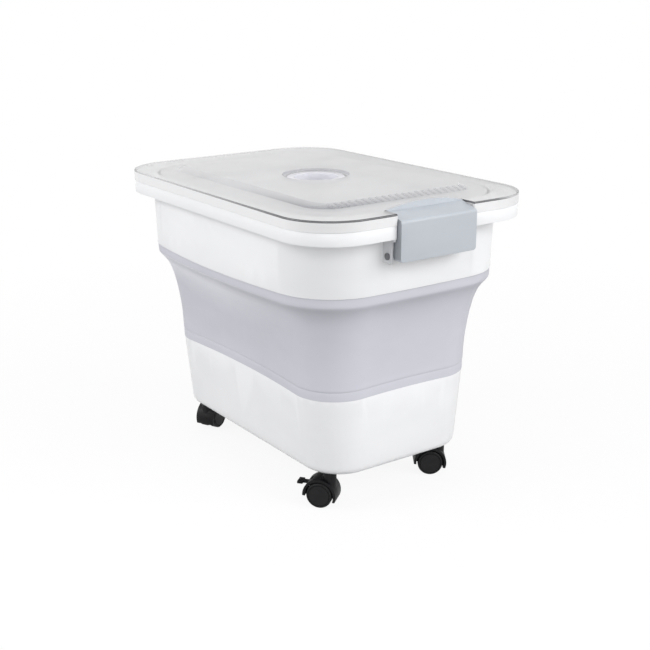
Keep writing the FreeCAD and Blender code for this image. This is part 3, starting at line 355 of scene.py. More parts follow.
@dataclass(frozen=True)
class LidZones:
    """Where the lid's finish changes, and by how much. Places are in metres."""

    half_width: float = 0.1525
    half_length: float = 0.22
    border_top: float = 0.3475
    panel_top: float = 0.352
    # a slope's painted shade fades up to the panel's top, and away from the corner by the latch
    slope_at_panel: float = 0.4
    near_corner: tuple[float, float] = (-0.26, -0.1)
    slope_far_off: float = 0.3
    # painted shade: the skirt turns darker towards the far end of the latch side
    far_end: tuple[float, float] = (0.08, 0.15)
    far_end_share: float = 0.6
    # painted shade on the upper edge of the dish round the cup
    dish_radius: float = 0.043
    dish_upright: float = 0.85
    dish_edge_depth: tuple[float, float] = (0.0036, 0.0018)
    dish_shade_colour: Colour = (0.40, 0.40, 0.44)
    dish_share: float = 0.85
    dish_cover: float = 0.2
    # a painted shade line along the rounded top edge, standing in for the dark edge of thick clear
    # plastic: it is deeper and darker by the latch
    rim_shade_colour: Colour = (0.012, 0.013, 0.018)
    rim_start: float = 0.86
    rim_upright: float = 0.97
    rim_depth: tuple[float, float] = (0.0022, 0.0012)
    rim_depth_along: tuple[float, float] = (-0.16, 0.12)
    rim_share: tuple[float, float] = (0.86, 0.38)
    rim_share_along: tuple[float, float] = (-0.19, 0.10)
    rim_far_share: tuple[float, float] = (1.0, 0.38)
    rim_far_across: tuple[float, float] = (0.085, 0.108)


LID_ZONES = LidZones()


@dataclass(frozen=True)
class ClearPlastic:
    """Clear moulded plastic: it covers more seen edge-on as a painted reflection, and has painted
    shade on its slopes and upright sides.
    """

    name: str
    colour: Colour
    streak: Colour
    slope_shade_colour: Colour
    side_shade_colour: Colour
    far_side_shade_colour: Colour
    roughness: float
    cover: float
    edge_cover: float
    slope_cover: float
    side_cover: float
    is_lid: bool = False
    refraction: float = 1.49
    shine: float = 0.4
    haze_scale: float = 14.0
    haze_drift: float = 0.15
    streak_scale: float = 9.0
    streak_stretch: Point = (1.0, 3.0, 1.0)
    edge_blend: float = 0.4
    # how far a surface faces up or down: 1 is level and 0 is upright
    level_to_slope: tuple[float, float] = (0.99, 0.93)
    upright_to_slope: tuple[float, float] = (0.15, 0.45)

    def build(self) -> bpy.types.Material:
        """Make the material.

        Returns:
            The finished material.
        """
        sheet = NodeSheet(self.name)
        shader = sheet.add("BsdfPrincipled")
        shader.inputs["IOR"].default_value = self.refraction
        shader.inputs["Specular IOR Level"].default_value = self.shine
        haze = sheet.spread(sheet.noise(self.haze_scale, 2.0),
                            self.roughness * (1.0 - self.haze_drift),
                            self.roughness * (1.0 + self.haze_drift))
        sheet.join(haze, shader.inputs["Roughness"])
        upright = sheet.maths("ABSOLUTE", sheet.axes("Normal")[2])
        x, y, z = sheet.axes("Object")
        slope = self._slope(sheet, (x, y, z), upright)
        side = sheet.ramp(upright, self.upright_to_slope, (1.0, 0.0))
        streaks = sheet.spread(sheet.noise(self.streak_scale, 3.0, self.streak_stretch),
                               0.0, 1.0)
        # painted shade: slopes and upright sides take darker colours, standing in for the darkness
        # refraction gives there
        tint = sheet.blend_colours(slope, sheet.blend_colours(streaks, self.colour, self.streak),
                                   self.slope_shade_colour)
        tint = sheet.blend_colours(side, tint, self.side_shade_colour)
        # painted shade: upright sides turn darker towards the far end of the latch side
        far_end = sheet.ramp(x, LID_ZONES.far_end, (0.0, LID_ZONES.far_end_share))
        tint = sheet.blend_colours(sheet.maths("MULTIPLY", side, far_end), tint,
                                   self.far_side_shade_colour)
        # painted reflection: the plastic covers more where it is seen edge-on, in place of the
        # stronger reflection at a glancing view
        view = sheet.add("LayerWeight")
        view.inputs["Blend"].default_value = self.edge_blend
        cover = sheet.ramp(view.outputs["Facing"], (0.0, 1.0), (self.cover, self.edge_cover))
        cover = sheet.maths("ADD", cover, sheet.maths("MULTIPLY", slope, self.slope_cover))
        cover = sheet.maths("ADD", cover, sheet.maths("MULTIPLY", side, self.side_cover))
        if self.is_lid:
            # painted shade on the dish's upper edge
            dish = self._dish_edge(sheet, (x, y, z), upright)
            tint = sheet.blend_colours(sheet.maths("MULTIPLY", dish, LID_ZONES.dish_share),
                                       tint, LID_ZONES.dish_shade_colour)
            cover = sheet.maths("ADD", cover,
                                sheet.maths("MULTIPLY", dish, LID_ZONES.dish_cover))
            # painted shade: a dark line along the lid's rounded top edge
            rim = self._rim(sheet, (x, y, z), upright)
            tint = sheet.blend_colours(rim, tint, LID_ZONES.rim_shade_colour)
            cover = sheet.maths("MAXIMUM", cover, rim)
        sheet.join(tint, shader.inputs["Base Color"])
        sheet.join(sheet.maths("MINIMUM", cover, 1.0), shader.inputs["Alpha"])
        return sheet.close(shader.outputs["BSDF"])

    def _slope(self, sheet: NodeSheet, place: Sockets, upright: bpy.types.NodeSocket
               ) -> bpy.types.NodeSocket:
        """How strongly a place shows as a slope.

        Args:
            sheet: the material's nodes.
            place: the place across, along and above the bin.
            upright: how far the surface faces up or down.

        Returns:
            The strength's socket.
        """
        x, y, z = place
        slope = sheet.maths("MULTIPLY", sheet.ramp(upright, self.level_to_slope),
                            sheet.ramp(upright, self.upright_to_slope))
        up_panel = sheet.ramp(z, (LID_ZONES.border_top, LID_ZONES.panel_top),
                              (1.0, LID_ZONES.slope_at_panel))
        far_off = sheet.ramp(sheet.maths("ADD", x, y), LID_ZONES.near_corner,
                             (1.0, LID_ZONES.slope_far_off))
        return sheet.maths("MULTIPLY", sheet.maths("MULTIPLY", slope, up_panel), far_off)

    @staticmethod
    def _dish_edge(sheet: NodeSheet, place: Sockets, upright: bpy.types.NodeSocket
                   ) -> bpy.types.NodeSocket:
        """The painted shade on the upper edge of the dish round the cup.

        Args:
            sheet: the material's nodes.
            place: the place across, along and above the bin.
            upright: how far the surface faces up or down.

        Returns:
            How strongly the edge shows.
        """
        x, y, z = place
        radius = sheet.maths("SQRT", sheet.maths("ADD", sheet.maths("MULTIPLY", x, x),
                                                 sheet.maths("MULTIPLY", y, y)))
        wall = sheet.maths("MULTIPLY", sheet.maths("LESS_THAN", upright, LID_ZONES.dish_upright),
                           sheet.maths("LESS_THAN", radius, LID_ZONES.dish_radius))
        deep, shallow = LID_ZONES.dish_edge_depth
        return sheet.maths("MULTIPLY", wall, sheet.ramp(z, (LID_ZONES.panel_top - deep,
                                                            LID_ZONES.panel_top - shallow)))

    @staticmethod
    def _rim(sheet: NodeSheet, place: Sockets, upright: bpy.types.NodeSocket
             ) -> bpy.types.NodeSocket:
        """The painted shade line along the lid's rounded top edge, standing in for the dark edge
        that thick clear plastic shows.

        Args:
            sheet: the material's nodes.
            place: the place across, along and above the bin.
            upright: how far the surface faces up or down.

        Returns:
            How strongly the line shows.
        """
        x, y, z = place
        zones = LID_ZONES
        across = sheet.maths("DIVIDE", sheet.maths("ABSOLUTE", x), zones.half_width)
        along = sheet.maths("DIVIDE", sheet.maths("ABSOLUTE", y), zones.half_length)
        outer = sheet.maths("GREATER_THAN", sheet.maths("MAXIMUM", across, along),
                            zones.rim_start)
        foot = sheet.ramp(y, zones.rim_depth_along,
                          tuple(zones.border_top - depth for depth in zones.rim_depth))
        above = sheet.maths("GREATER_THAN", z, foot)
        below = sheet.maths("LESS_THAN", upright, zones.rim_upright)
        strength = sheet.maths("MULTIPLY",
                               sheet.ramp(y, zones.rim_share_along, zones.rim_share),
                               sheet.ramp(x, zones.rim_far_across, zones.rim_far_share))
        band = sheet.maths("MULTIPLY", outer, sheet.maths("MULTIPLY", above, below))
        return sheet.maths("MULTIPLY", band, strength)


@dataclass(frozen=True)
class TurnedSteel:
    """Plated steel with fine turning marks across the pin."""

    name: str
    colour: Colour
    dull: Colour
    roughness: float
    smoother: float = 0.1
    rougher: float = 0.12
    spot_scale: float = 260.0
    mark_scale: float = 900.0
    mark_stretch: Point = (4.0, 1.0, 1.0)
    mark_depth: float = 0.00001

    def build(self) -> bpy.types.Material:
        """Make the material.

        Returns:
            The finished material.
        """
        sheet = NodeSheet(self.name)
        shader = sheet.add("BsdfPrincipled")
        shader.inputs["Metallic"].default_value = 1.0
        spots = sheet.noise(self.spot_scale, 4.0)
        sheet.join(sheet.blend_colours(sheet.spread(spots, 0.0, 1.0), self.colour, self.dull),
                   shader.inputs["Base Color"])
        marks = sheet.noise(self.mark_scale, 2.0, self.mark_stretch)
        sheet.join(sheet.spread(marks, self.roughness - self.smoother,
                                self.roughness + self.rougher), shader.inputs["Roughness"])
        sheet.join(sheet.bump(marks, self.mark_depth), shader.inputs["Normal"])
        return sheet.close(shader.outputs["BSDF"])


class Finish(Enum):
    """The finishes on the bin."""

    WHITE = MouldedPlastic("white_shell", (0.84, 0.845, 0.855), (0.815, 0.82, 0.835), 0.36)
    # painted shade: the white collar's ears take a grey that stands in for the shade beside the
    # latch
    EAR = MouldedPlastic("ear_painted_shade", (0.64, 0.65, 0.67), (0.61, 0.62, 0.64), 0.45)
    # painted shade: the latch's cheeks take a darker grey than the latch, standing in for the shade
    # from the ears and flange
    CHEEK = MouldedPlastic("latch_cheek_painted_shade", (0.33, 0.355, 0.385), (0.31, 0.335, 0.365), 0.45)
    # the band carries painted light on its downward-facing faces
    BAND = MouldedPlastic("grey_band", (0.59, 0.594, 0.65), (0.56, 0.562, 0.615), 0.6,
                          cloud_scale=9.0, grain_scale=1100.0, grain_depth=0.00003,
                          shine=0.35, painted_light_colour=(0.82, 0.825, 0.88))
    LID = ClearPlastic("clear_lid", colour=(0.95, 0.95, 0.95), streak=(0.92, 0.92, 0.925),
                       slope_shade_colour=(0.26, 0.265, 0.29), side_shade_colour=(0.79, 0.79, 0.80),
                       far_side_shade_colour=(0.50, 0.50, 0.51), roughness=0.22, cover=0.12,
                       edge_cover=0.52, slope_cover=0.24, side_cover=0.75, is_lid=True)
    RIB = ClearPlastic("clear_rib", colour=(0.56, 0.565, 0.59), streak=(0.52, 0.525, 0.55),
                       slope_shade_colour=(0.42, 0.425, 0.45), side_shade_colour=(0.50, 0.505, 0.53),
                       far_side_shade_colour=(0.50, 0.505, 0.53), roughness=0.3, cover=0.2,
                       edge_cover=0.32, slope_cover=0.1, side_cover=0.1)
    CUP = ClearPlastic("clear_cup", colour=(0.88, 0.875, 0.92), streak=(0.84, 0.835, 0.88),
                       slope_shade_colour=(0.70, 0.70, 0.76), side_shade_colour=(0.76, 0.76, 0.81),
                       far_side_shade_colour=(0.76, 0.76, 0.81), roughness=0.2, cover=0.6,
                       edge_cover=0.8, slope_cover=0.1, side_cover=0.2)
    SEAL = MouldedPlastic("pale_seal", (0.74, 0.75, 0.77), (0.70, 0.71, 0.73), 0.6,
                          grain_depth=0.00005)
    LATCH = MouldedPlastic("grey_latch", (0.455, 0.485, 0.525), (0.435, 0.465, 0.505), 0.42,
                           grain_scale=1200.0, grain_depth=0.00002)
    PIN = MouldedPlastic("white_pin", (0.72, 0.73, 0.74), (0.66, 0.67, 0.69), 0.3)
    CASTER = MouldedPlastic("black_hood", (0.005, 0.005, 0.006), (0.008, 0.008, 0.009), 0.45,
                            cloud_scale=60.0, grain_scale=1600.0, grain_depth=0.00003,
                            shine=0.16)
    WHEEL = MouldedPlastic("black_wheel", (0.007, 0.007, 0.008), (0.012, 0.012, 0.013), 0.5,
                           cloud_scale=90.0, grain_scale=1600.0, grain_depth=0.00004,
                           shine=0.2)
    STEEL = TurnedSteel("dark_steel", (0.24, 0.24, 0.25), (0.16, 0.16, 0.17), 0.35)


class FinishRack:
    """Makes each finish once and puts it on pieces."""

    def __init__(self) -> None:
        """Start with no material made."""
        self._made: dict[Finish, bpy.types.Material] = {}

    def coat(self, obj: bpy.types.Object, finish: Finish) -> None:
        """Give a piece one finish all over.

        Args:
            obj: the piece.
            finish: what it is made of.
        """
        if not obj.material_slots:
            obj.data.materials.append(None)
        for place in obj.material_slots:
            place.material = self._material(finish)

    def patch(self, obj: bpy.types.Object, finish: Finish,
              test: Callable[[Vector], bool]) -> None:
        """Give another finish to the faces whose middles pass a test.

        Args:
            obj: the piece.
            finish: what they are made of.
            test: says whether a face's middle is in the patch.
        """
        obj.data.materials.append(self._material(finish))
        for face in obj.data.polygons:
            if test(face.center):
                face.material_index = len(obj.data.materials) - 1

    def _material(self, finish: Finish) -> bpy.types.Material:
        """The material of a finish, made the first time it is asked for.

        Args:
            finish: the finish.

        Returns:
            Its material.
        """
        if finish not in self._made:
            self._made[finish] = finish.value.build()
        return self._made[finish]


# ---------------------------------------------------------------- modelling bench

class Bench:
    """Adds primitives and shapes them with edit-mode operators, one piece at a time."""

    @staticmethod
    def clear() -> None:
        """Leave edit mode and select nothing."""
        if bpy.context.object and bpy.context.object.mode != "OBJECT":
            bpy.ops.object.mode_set(mode="OBJECT")
        bpy.ops.object.select_all(action="DESELECT")

    @staticmethod
    def take(obj: bpy.types.Object) -> bpy.types.Object:
        """Select one piece alone and make it active.

        Args:
            obj: the piece.

        Returns:
            The same piece.
        """
        Bench.clear()
        obj.select_set(True)
        bpy.context.view_layer.objects.active = obj
        return obj

    @staticmethod
    def edit(obj: bpy.types.Object) -> None:
        """Open a piece in edit mode with nothing selected.

        Args:
            obj: the piece.
        """
        Bench.take(obj)
        bpy.ops.object.mode_set(mode="EDIT")
        bpy.ops.mesh.select_all(action="DESELECT")

    @staticmethod
    def choose_edges(test: Callable[[Vector, Vector], bool]) -> None:
        """Select the edges that pass a test.

        Args:
            test: says whether an edge is wanted, from its middle and its direction.
        """
        bpy.ops.mesh.select_all(action="DESELECT")
        bpy.ops.mesh.select_mode(type="EDGE")
        mesh = bpy.context.object.data
        working = bmesh.from_edit_mesh(mesh)
        for edge in working.edges:
            first, last = (vert.co for vert in edge.verts)
            edge.select_set(test((first + last) / 2, last - first))
        bmesh.update_edit_mesh(mesh)

    @staticmethod
    def place_selected(path: Callable[[int], Point]) -> None:
        """Set the selected vertices on an outline, in the order round the ring.

        Args:
            path: gives the point for each place in the ring.
        """
        mesh = bpy.context.object.data
        working = bmesh.from_edit_mesh(mesh)
        ring = [vert for vert in working.verts if vert.select]
        ring.sort(key=lambda vert: math.atan2(vert.co.y, vert.co.x))
        for place, vert in enumerate(ring):
            vert.co = path(place)
        bmesh.update_edit_mesh(mesh)

    @staticmethod
    def apply(obj: bpy.types.Object) -> None:
        """Apply every modifier on a piece.

        Args:
            obj: the piece.
        """
        Bench.take(obj)
        for modifier in list(obj.modifiers):
            bpy.ops.object.modifier_apply(modifier=modifier.name)

    @staticmethod
    def seat(obj: bpy.types.Object) -> None:
        """Put a piece's place into its mesh, so that its object sits at the origin.

        Args:
            obj: the piece.
        """
        Bench.take(obj)
        bpy.ops.object.transform_apply(location=True, rotation=True, scale=True)

    @staticmethod
    def smooth(obj: bpy.types.Object, degrees: float = 35.0) -> None:
        """Shade smooth, apart from edges sharper than an angle.

        Args:
            obj: the piece.
            degrees: the angle.
        """
        Bench.take(obj)
        bpy.ops.object.shade_smooth_by_angle(angle=math.radians(degrees))


@dataclass(frozen=True)
class Outline:
    """A rounded rectangle whose sides bow outward, or inward if the bow is negative."""

    half_x: float
    half_y: float
    corner: float
    bow_x: float = 0.0
    bow_y: float = 0.0

    def mixed(self, other: "Outline", share: float) -> "Outline":
        """The outline part of the way to another.

        Args:
            other: the outline at share 1.
            share: how far towards it.

        Returns:
            The outline between.
        """
        keep = 1.0 - share
        return Outline(self.half_x * keep + other.half_x * share,
                       self.half_y * keep + other.half_y * share,
                       self.corner * keep + other.corner * share,
                       self.bow_x * keep + other.bow_x * share,
                       self.bow_y * keep + other.bow_y * share)

    def points(self, side_steps: int, corner_steps: int) -> list[tuple[float, float]]:
        """Points round the outline, counter-clockwise from the middle of the -X side.

        Args:
            side_steps: segments along each side.
            corner_steps: segments round each corner.

        Returns:
            The points, in metres.
        """
        reach_x, reach_y = self.half_x - self.corner, self.half_y - self.corner
        found: list[tuple[float, float]] = []
        for quarter in range(4):
            turn = quarter * math.pi / 2
            along = quarter % 2 == 0
            half, bow = (reach_y, self.bow_x) if along else (reach_x, self.bow_y)
            out = self.half_x if along else self.half_y
            for step in range(side_steps):
                share = -1.0 + 2.0 * step / side_steps
                side = (out + bow * (1.0 - share * share), share * half)
                found.append(_turned(side, turn))
            corner_middle = (out - self.corner, half)
            for step in range(corner_steps):
                angle = math.pi / 2 * step / corner_steps
                spot = (corner_middle[0] + self.corner * math.cos(angle),
                        corner_middle[1] + self.corner * math.sin(angle))
                found.append(_turned(spot, turn))
        return sorted(found, key=lambda spot: math.atan2(spot[1], spot[0]))


def _turned(point: tuple[float, float], angle: float) -> tuple[float, float]:
    """A point turned about the origin.

    Args:
        point: the point.
        angle: the turn in radians, counter-clockwise.

    Returns:
        The turned point.
    """
    x, y = point
    return (x * math.cos(angle) - y * math.sin(angle), x * math.sin(angle) + y * math.cos(angle))


@dataclass
class RingStack:
    """A shell drawn ring by ring: each level is extruded from the last and set on an outline."""

    name: str
    levels: list[tuple[float, Outline]]
    side_steps: int = 16
    corner_steps: int = 14

    def build(self) -> bpy.types.Object:
        """Make the open shell.

        Returns:
            The new mesh object, at the origin.
        """
        first_z, first = self.levels[0]
        count = 4 * (self.side_steps + self.corner_steps)
        Bench.clear()
        bpy.ops.mesh.primitive_circle_add(vertices=count, radius=first.half_x,
                                          location=(0.0, 0.0, 0.0))
        obj = bpy.context.object
        obj.name = self.name
        Bench.edit(obj)
        bpy.ops.mesh.select_all(action="SELECT")
        self._set_ring(first_z, first)
        for level, outline in self.levels[1:]:
            bpy.ops.mesh.extrude_edges_move(
                TRANSFORM_OT_translate={"value": (0.0, 0.0, 0.001)})
            self._set_ring(level, outline)
        bpy.ops.mesh.select_all(action="SELECT")
        bpy.ops.mesh.normals_make_consistent(inside=False)
        bpy.ops.object.mode_set(mode="OBJECT")
        return obj

    def _set_ring(self, level: float, outline: Outline) -> None:
        """Put the selected ring on an outline at one height.

        Args:
            level: the height.
            outline: the outline.
        """
        spots = outline.points(self.side_steps, self.corner_steps)
        Bench.place_selected(lambda place: (*spots[place], level))


# ---------------------------------------------------------------- sub-assemblies

@dataclass
class FoldingBand:
    """Soft band between the base tub's rim and the collar's foot."""

    base_rim: Outline = Outline(0.112, 0.1735, 0.0505, -0.0058, -0.0024)
    collar_foot: Outline = Outline(0.1403, 0.1995, 0.074, 0.0074, 0.0012)
    wall: float = 0.002
    smooth_angle: float = 50.0
    # height above the base rim, share of the way out to the collar
    profile: tuple[tuple[float, float], ...] = (
        (0.0, 0.0), (0.0006, 0.002), (0.0016, 0.004), (0.0060, 0.005), (0.0096, 0.004),
        (0.0102, 0.001), (0.0107, 0.005), (0.0112, 0.015), (0.0118, 0.021),
        (0.0130, 0.023), (0.0165, 0.025), (0.022, 0.028),
        (0.034, 0.052), (0.048, 0.108), (0.060, 0.172), (0.072, 0.250), (0.083, 0.343),
        (0.091, 0.432), (0.097, 0.522), (0.102, 0.622), (0.1062, 0.728), (0.1092, 0.822),
        (0.1110, 0.885), (0.1120, 0.905), (0.1130, 0.935), (0.1142, 0.950), (0.1180, 0.957),
        (0.1220, 0.962), (0.1234, 0.975), (0.1240, 0.990))

    def build(self, rack: FinishRack) -> bpy.types.Object:
        """Make, finish and mount the band.

        Args:
            rack: the finishes.

        Returns:
            The band.
        """
        low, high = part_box("folding_band")
        scale = (high[2] - low[2]) / self.profile[-1][0]
        levels = [(low[2] + rise * scale, self.base_rim.mixed(self.collar_foot, share))
                  for rise, share in self.profile]
        band = RingStack("soft_band", levels, side_steps=24, corner_steps=16).build()
        wall = band.modifiers.new("wall", "SOLIDIFY")
        wall.thickness = self.wall
        wall.offset = -1.0
        Bench.apply(band)
        Bench.smooth(band, self.smooth_angle)
        rack.coat(band, Finish.BAND)
        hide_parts("folding_band")
        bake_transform(band)
        return band


@dataclass
class CarriedPieces:
    """The CAD pieces and the finish of each; the band is left out, as it is made anew."""

    nodes: dict[str, bpy.types.Object]
    finishes: dict[str, Finish] = field(default_factory=lambda: {
        "base_tub": Finish.WHITE, "collar": Finish.WHITE, "lid": Finish.LID,
        "lid_seal": Finish.SEAL, "measuring_cup": Finish.CUP, "latch": Finish.LATCH,
        "latch_pin": Finish.STEEL, "hinge_pins": Finish.PIN,
        "caster_stem": Finish.STEEL, "caster_hood": Finish.CASTER,
        "caster_axle": Finish.STEEL, "wheel": Finish.WHEEL, "brake_lever": Finish.CASTER})

    def dress(self, rack: FinishRack) -> None:
        """Finish every CAD piece that has a finish here.

        Args:
            rack: the finishes.
        """
        for name, obj in self.nodes.items():
            kind = max((key for key in self.finishes if name.startswith(key)), key=len,
                       default=None)
            if kind:
                rack.coat(obj, self.finishes[kind])
                LOG.info("finish %s on %s", self.finishes[kind].name, name)


@dataclass(frozen=True)
class SoftEdged:
    """A CAD piece drawn again with its sharp edges slightly rounded."""

    node: str
    finish: Finish
    slot: str
    radius: float = 0.0006
    segments: int = 2
    # says which edges, by their middle and their direction, get the larger corner radius
    corner_test: Callable[[Vector, Vector], bool] | None = None
    corner_radius: float = 0.0035
    corner_segments: int = 5
    # points nearer than this are one, and faces flatter than this angle are one
    merge_gap: float = 0.00002
    flat_angle: float = 0.3
    # edges sharper than the first angle are rounded, and than the second stay crisp
    round_angle: float = 34.0
    crisp_angle: float = 40.0

    def build(self, nodes: dict[str, bpy.types.Object], rack: FinishRack) -> bpy.types.Object:
        """Copy, merge, round and mount the piece.

        Args:
            nodes: the CAD pieces by name.
            rack: the finishes.

        Returns:
            The new piece.
        """
        source = nodes[self.node]
        copy = bpy.data.objects.new(self.node + "_soft", source.data.copy())
        bpy.context.scene.collection.objects.link(copy)
        Bench.edit(copy)
        bpy.ops.mesh.select_all(action="SELECT")
        bpy.ops.mesh.remove_doubles(threshold=self.merge_gap)
        bpy.ops.mesh.dissolve_limited(angle_limit=math.radians(self.flat_angle))
        bpy.ops.mesh.customdata_custom_splitnormals_clear()
        if self.corner_test:
            Bench.choose_edges(self.corner_test)
            bpy.ops.mesh.bevel(offset=self.corner_radius, segments=self.corner_segments,
                               affect="EDGES")
        bpy.ops.object.mode_set(mode="OBJECT")
        edge = copy.modifiers.new("edge", "BEVEL")
        edge.width = self.radius
        edge.segments = self.segments
        edge.limit_method = "ANGLE"
        edge.angle_limit = math.radians(self.round_angle)
        Bench.apply(copy)
        Bench.smooth(copy, self.crisp_angle)
        rack.coat(copy, self.finish)
        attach(copy, source["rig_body"])
        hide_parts(self.node)
        return copy


@dataclass(frozen=True)
class SlopeRibs:
    """Slanted ribs moulded on the front slope of the lid's raised panel."""

    count: int = 21
    pitch: float = 0.0090
    # the slope's foot and top, along the bin
    foot: float = -0.1633
    top: float = -0.1530
    width: float = 0.0042
    height: float = 0.0008
    length_share: float = 0.94
    slant: float = 28.0

    def build(self, rack: FinishRack) -> bpy.types.Object:
        """Make the ribs and let them ride on the lid.

        Args:
            rack: the finishes.

        Returns:
            The ribs, as one piece.
        """
        low, high = LID_ZONES.border_top, LID_ZONES.panel_top
        run, rise = self.top - self.foot, high - low
        first = -self.pitch * (self.count - 1) / 2
        Bench.clear()
        bpy.ops.mesh.primitive_cube_add(
            size=1.0, location=(first, (self.foot + self.top) / 2, (low + high) / 2),
            rotation=(math.atan2(rise, run), 0.0, math.radians(self.slant)),
            scale=(self.width, math.hypot(run, rise) * self.length_share, self.height))
        ribs = bpy.context.object
        ribs.name = "lid_slope_ribs"
        Bench.seat(ribs)
        soft = ribs.modifiers.new("soft", "BEVEL")
        soft.width = self.height / 3
        soft.segments = 2
        row = ribs.modifiers.new("row", "ARRAY")
        row.count = self.count
        row.use_relative_offset = False
        row.use_constant_offset = True
        row.constant_offset_displace = (self.pitch, 0.0, 0.0)
        Bench.apply(ribs)
        Bench.smooth(ribs)
        rack.coat(ribs, Finish.RIB)
        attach(ribs, "lid")
        return ribs


@dataclass
class Studio:
    """Pale floor, white backdrop, three soft side lamps, a top lamp and the camera."""

    target: Point = (0.0, 0.0, 0.157)
    azimuth: float = -34.63
    elevation: float = 17.73
    distance: float = 1.4067
    roll: float = -0.39
    lens: float = 63.08
    sensor: float = 36.0
    shift: tuple[float, float] = (0.01246, 0.00908)
    # name, place, size, power in watts
    lamps: tuple[tuple[str, Point, float, float], ...] = (
        ("left_soft", (-1.85, 0.65, 1.1), 1.5, 26.0),
        ("front_soft", (0.95, -1.85, 1.1), 1.4, 31.0),
        ("near_soft", (-1.2, -1.7, 0.9), 1.5, 14.0),
        ("top_soft", (0.1, 0.3, 2.2), 1.6, 8.0))
    world_strength: float = 0.4
    floor_size: float = 14.0
    floor_level: float = -0.0005
    floor_colour: Colour = (0.90, 0.90, 0.90)
    floor_fibre: Colour = (0.88, 0.88, 0.88)
    fibre_scale: float = 30.0
    # how white the floor is near the bin, how much light it throws back at the bin, and
    # between which distances it fades into the background
    floor_seen: float = 0.9
    floor_bounce: float = 0.35
    floor_fade: tuple[float, float] = (0.35, 1.1)

    def build(self) -> None:
        """Make the studio and set the scene's camera."""
        self._floor()
        self._world()
        for name, place, size, power in self.lamps:
            self._lamp(name, place, size, power)
        self._camera()
        bpy.context.scene.view_settings.view_transform = "Standard"

    def _floor(self) -> None:
        """A wide floor that the camera sees as almost white, with the bin's faint shadow."""
        Bench.clear()
        bpy.ops.mesh.primitive_plane_add(size=self.floor_size,
                                         location=(0.0, 0.0, self.floor_level))
        floor = bpy.context.object
        floor.name = "studio_floor"
        sheet = NodeSheet("floor_paper")
        fibre = sheet.spread(sheet.noise(self.fibre_scale, 4.0), 0.0, 1.0)
        shade = sheet.blend_colours(fibre, self.floor_colour, self.floor_fibre)
        unseen = sheet.ramp(sheet.add("LightPath").outputs["Is Camera Ray"], (1.0, 0.0))
        paper = sheet.add("BsdfDiffuse")
        sheet.join(sheet.blend_colours(unseen, shade, (self.floor_bounce,) * 3),
                   paper.inputs["Color"])
        white = sheet.add("Emission")
        white.inputs["Color"].default_value = WHITE_LIGHT
        reach = sheet.add("VectorMath", operation="LENGTH")
        sheet.join(sheet.add("TexCoord").outputs["Object"], reach.inputs[0])
        fade = sheet.ramp(reach.outputs["Value"], self.floor_fade, (self.floor_seen, 1.0))
        share = sheet.maths("MULTIPLY", fade, sheet.seen())
        mixed = sheet.mix_shaders(share, paper.outputs[0], white.outputs[0])
        floor.data.materials.append(sheet.close(mixed))

    def _world(self) -> None:
        """An even grey light that is seen as white."""
        sheet = NodeSheet("studio_air", is_world=True)
        light, white = sheet.add("Background"), sheet.add("Background")
        for air, strength in ((light, self.world_strength), (white, 1.0)):
            air.inputs["Color"].default_value = WHITE_LIGHT
            air.inputs["Strength"].default_value = strength
        mixed = sheet.mix_shaders(sheet.seen(), light.outputs[0], white.outputs[0])
        bpy.context.scene.world = sheet.close(mixed)

    def _lamp(self, name: str, place: Point, size: float, power: float) -> None:
        """One square soft lamp that faces the bin.

        Args:
            name: the lamp's name.
            place: where it hangs.
            size: its side.
            power: its power in watts.
        """
        data = bpy.data.lights.new(name, "AREA")
        data.shape = "SQUARE"
        data.size = size
        data.energy = power
        lamp = bpy.data.objects.new(name, data)
        bpy.context.scene.collection.objects.link(lamp)
        aim = Vector(self.target) - Vector(place)
        lamp.location = place
        lamp.rotation_euler = aim.to_track_quat("-Z", "Y").to_euler()

    def _camera(self) -> None:
        """The camera at the viewing angle."""
        a, e = math.radians(self.azimuth), math.radians(self.elevation)
        back = Vector((math.sin(a) * math.cos(e), -math.cos(a) * math.cos(e), math.sin(e)))
        level = Vector((0.0, 0.0, 1.0)).cross(back).normalized()
        upward = back.cross(level)
        tip = math.radians(self.roll)
        right = level * math.cos(tip) + upward * math.sin(tip)
        upward = back.cross(right)
        data = bpy.data.cameras.new("view")
        data.lens = self.lens
        data.sensor_width = self.sensor
        data.shift_x, data.shift_y = self.shift
        camera = bpy.data.objects.new("view", data)
        bpy.context.scene.collection.objects.link(camera)
        turn = Matrix((right, upward, back)).transposed()
        camera.matrix_world = Matrix.Translation(
            Vector(self.target) + back * self.distance) @ turn.to_4x4()
        bpy.context.scene.camera = camera


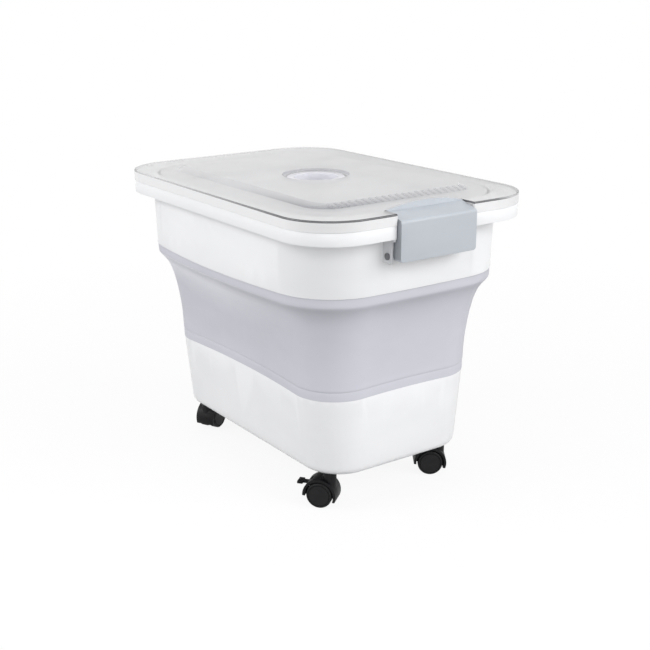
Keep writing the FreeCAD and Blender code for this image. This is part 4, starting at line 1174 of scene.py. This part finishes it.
def soft_edged(nodes: dict[str, bpy.types.Object]) -> list[SoftEdged]:
    """The pieces whose sharp edges are rounded.

    Args:
        nodes: the CAD pieces by name.

    Returns:
        One entry for each piece.
    """
    found = [SoftEdged("base_tub", Finish.WHITE, "white_plastic"),
             SoftEdged("collar", Finish.WHITE, "white_plastic"),
             SoftEdged("latch", Finish.LATCH, "grey_plastic", radius=0.0008, segments=3,
                       corner_test=is_latch_bottom_corner)]
    black = sorted(name for name in nodes if name.startswith(("caster_hood", "brake_lever")))
    return found + [SoftEdged(name, Finish.CASTER, "black_plastic", radius=0.0004)
                    for name in black]


def in_latch_ear(spot: Vector) -> bool:
    """Whether a place on the collar belongs to one of the two latch ears.

    Args:
        spot: the place.

    Returns:
        True on an ear.
    """
    beside = EAR_INNER_SIDE < abs(spot.x) < EAR_OUTER_SIDE
    return beside and spot.y < EAR_FRONT and spot.z < EAR_TOP


def is_latch_bottom_corner(middle: Vector, direction: Vector) -> bool:
    """Whether an edge of the latch runs front to back at a bottom corner.

    Args:
        middle: the edge's middle.
        direction: the edge from end to end.

    Returns:
        True at a bottom corner.
    """
    at_corner = abs(middle.x) > LATCH_CORNER_SIDE and middle.z < LATCH_CORNER_TOP
    return at_corner and abs(direction.y) > LATCH_CORNER_RUN


def on_latch_cheek(spot: Vector) -> bool:
    """Whether a place on the latch is on the outer side of one of its cheeks.

    Args:
        spot: the place.

    Returns:
        True on a cheek.
    """
    return abs(spot.x) > LATCH_CHEEK_SIDE and spot.y > LATCH_CHEEK_FRONT


def main() -> None:
    """Load the frame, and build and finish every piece."""
    logging.basicConfig(level=logging.INFO, format="%(message)s")
    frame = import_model()
    rack = FinishRack()
    nodes = frame["nodes"]
    CarriedPieces(nodes).dress(rack)
    LOG.info("band %s", FoldingBand().build(rack).name)
    for soft in soft_edged(nodes):
        piece = soft.build(nodes, rack)
        if soft.node == "collar":
            # painted shade on the collar's ears
            rack.patch(piece, Finish.EAR, in_latch_ear)
        if soft.node == "latch":
            # painted shade on the latch's cheeks
            rack.patch(piece, Finish.CHEEK, on_latch_cheek)
        LOG.info("soft-edged %s", piece.name)
    LOG.info("ribs %s", SlopeRibs().build(rack).name)
    Studio().build()


if __name__ == "__main__":
    main()
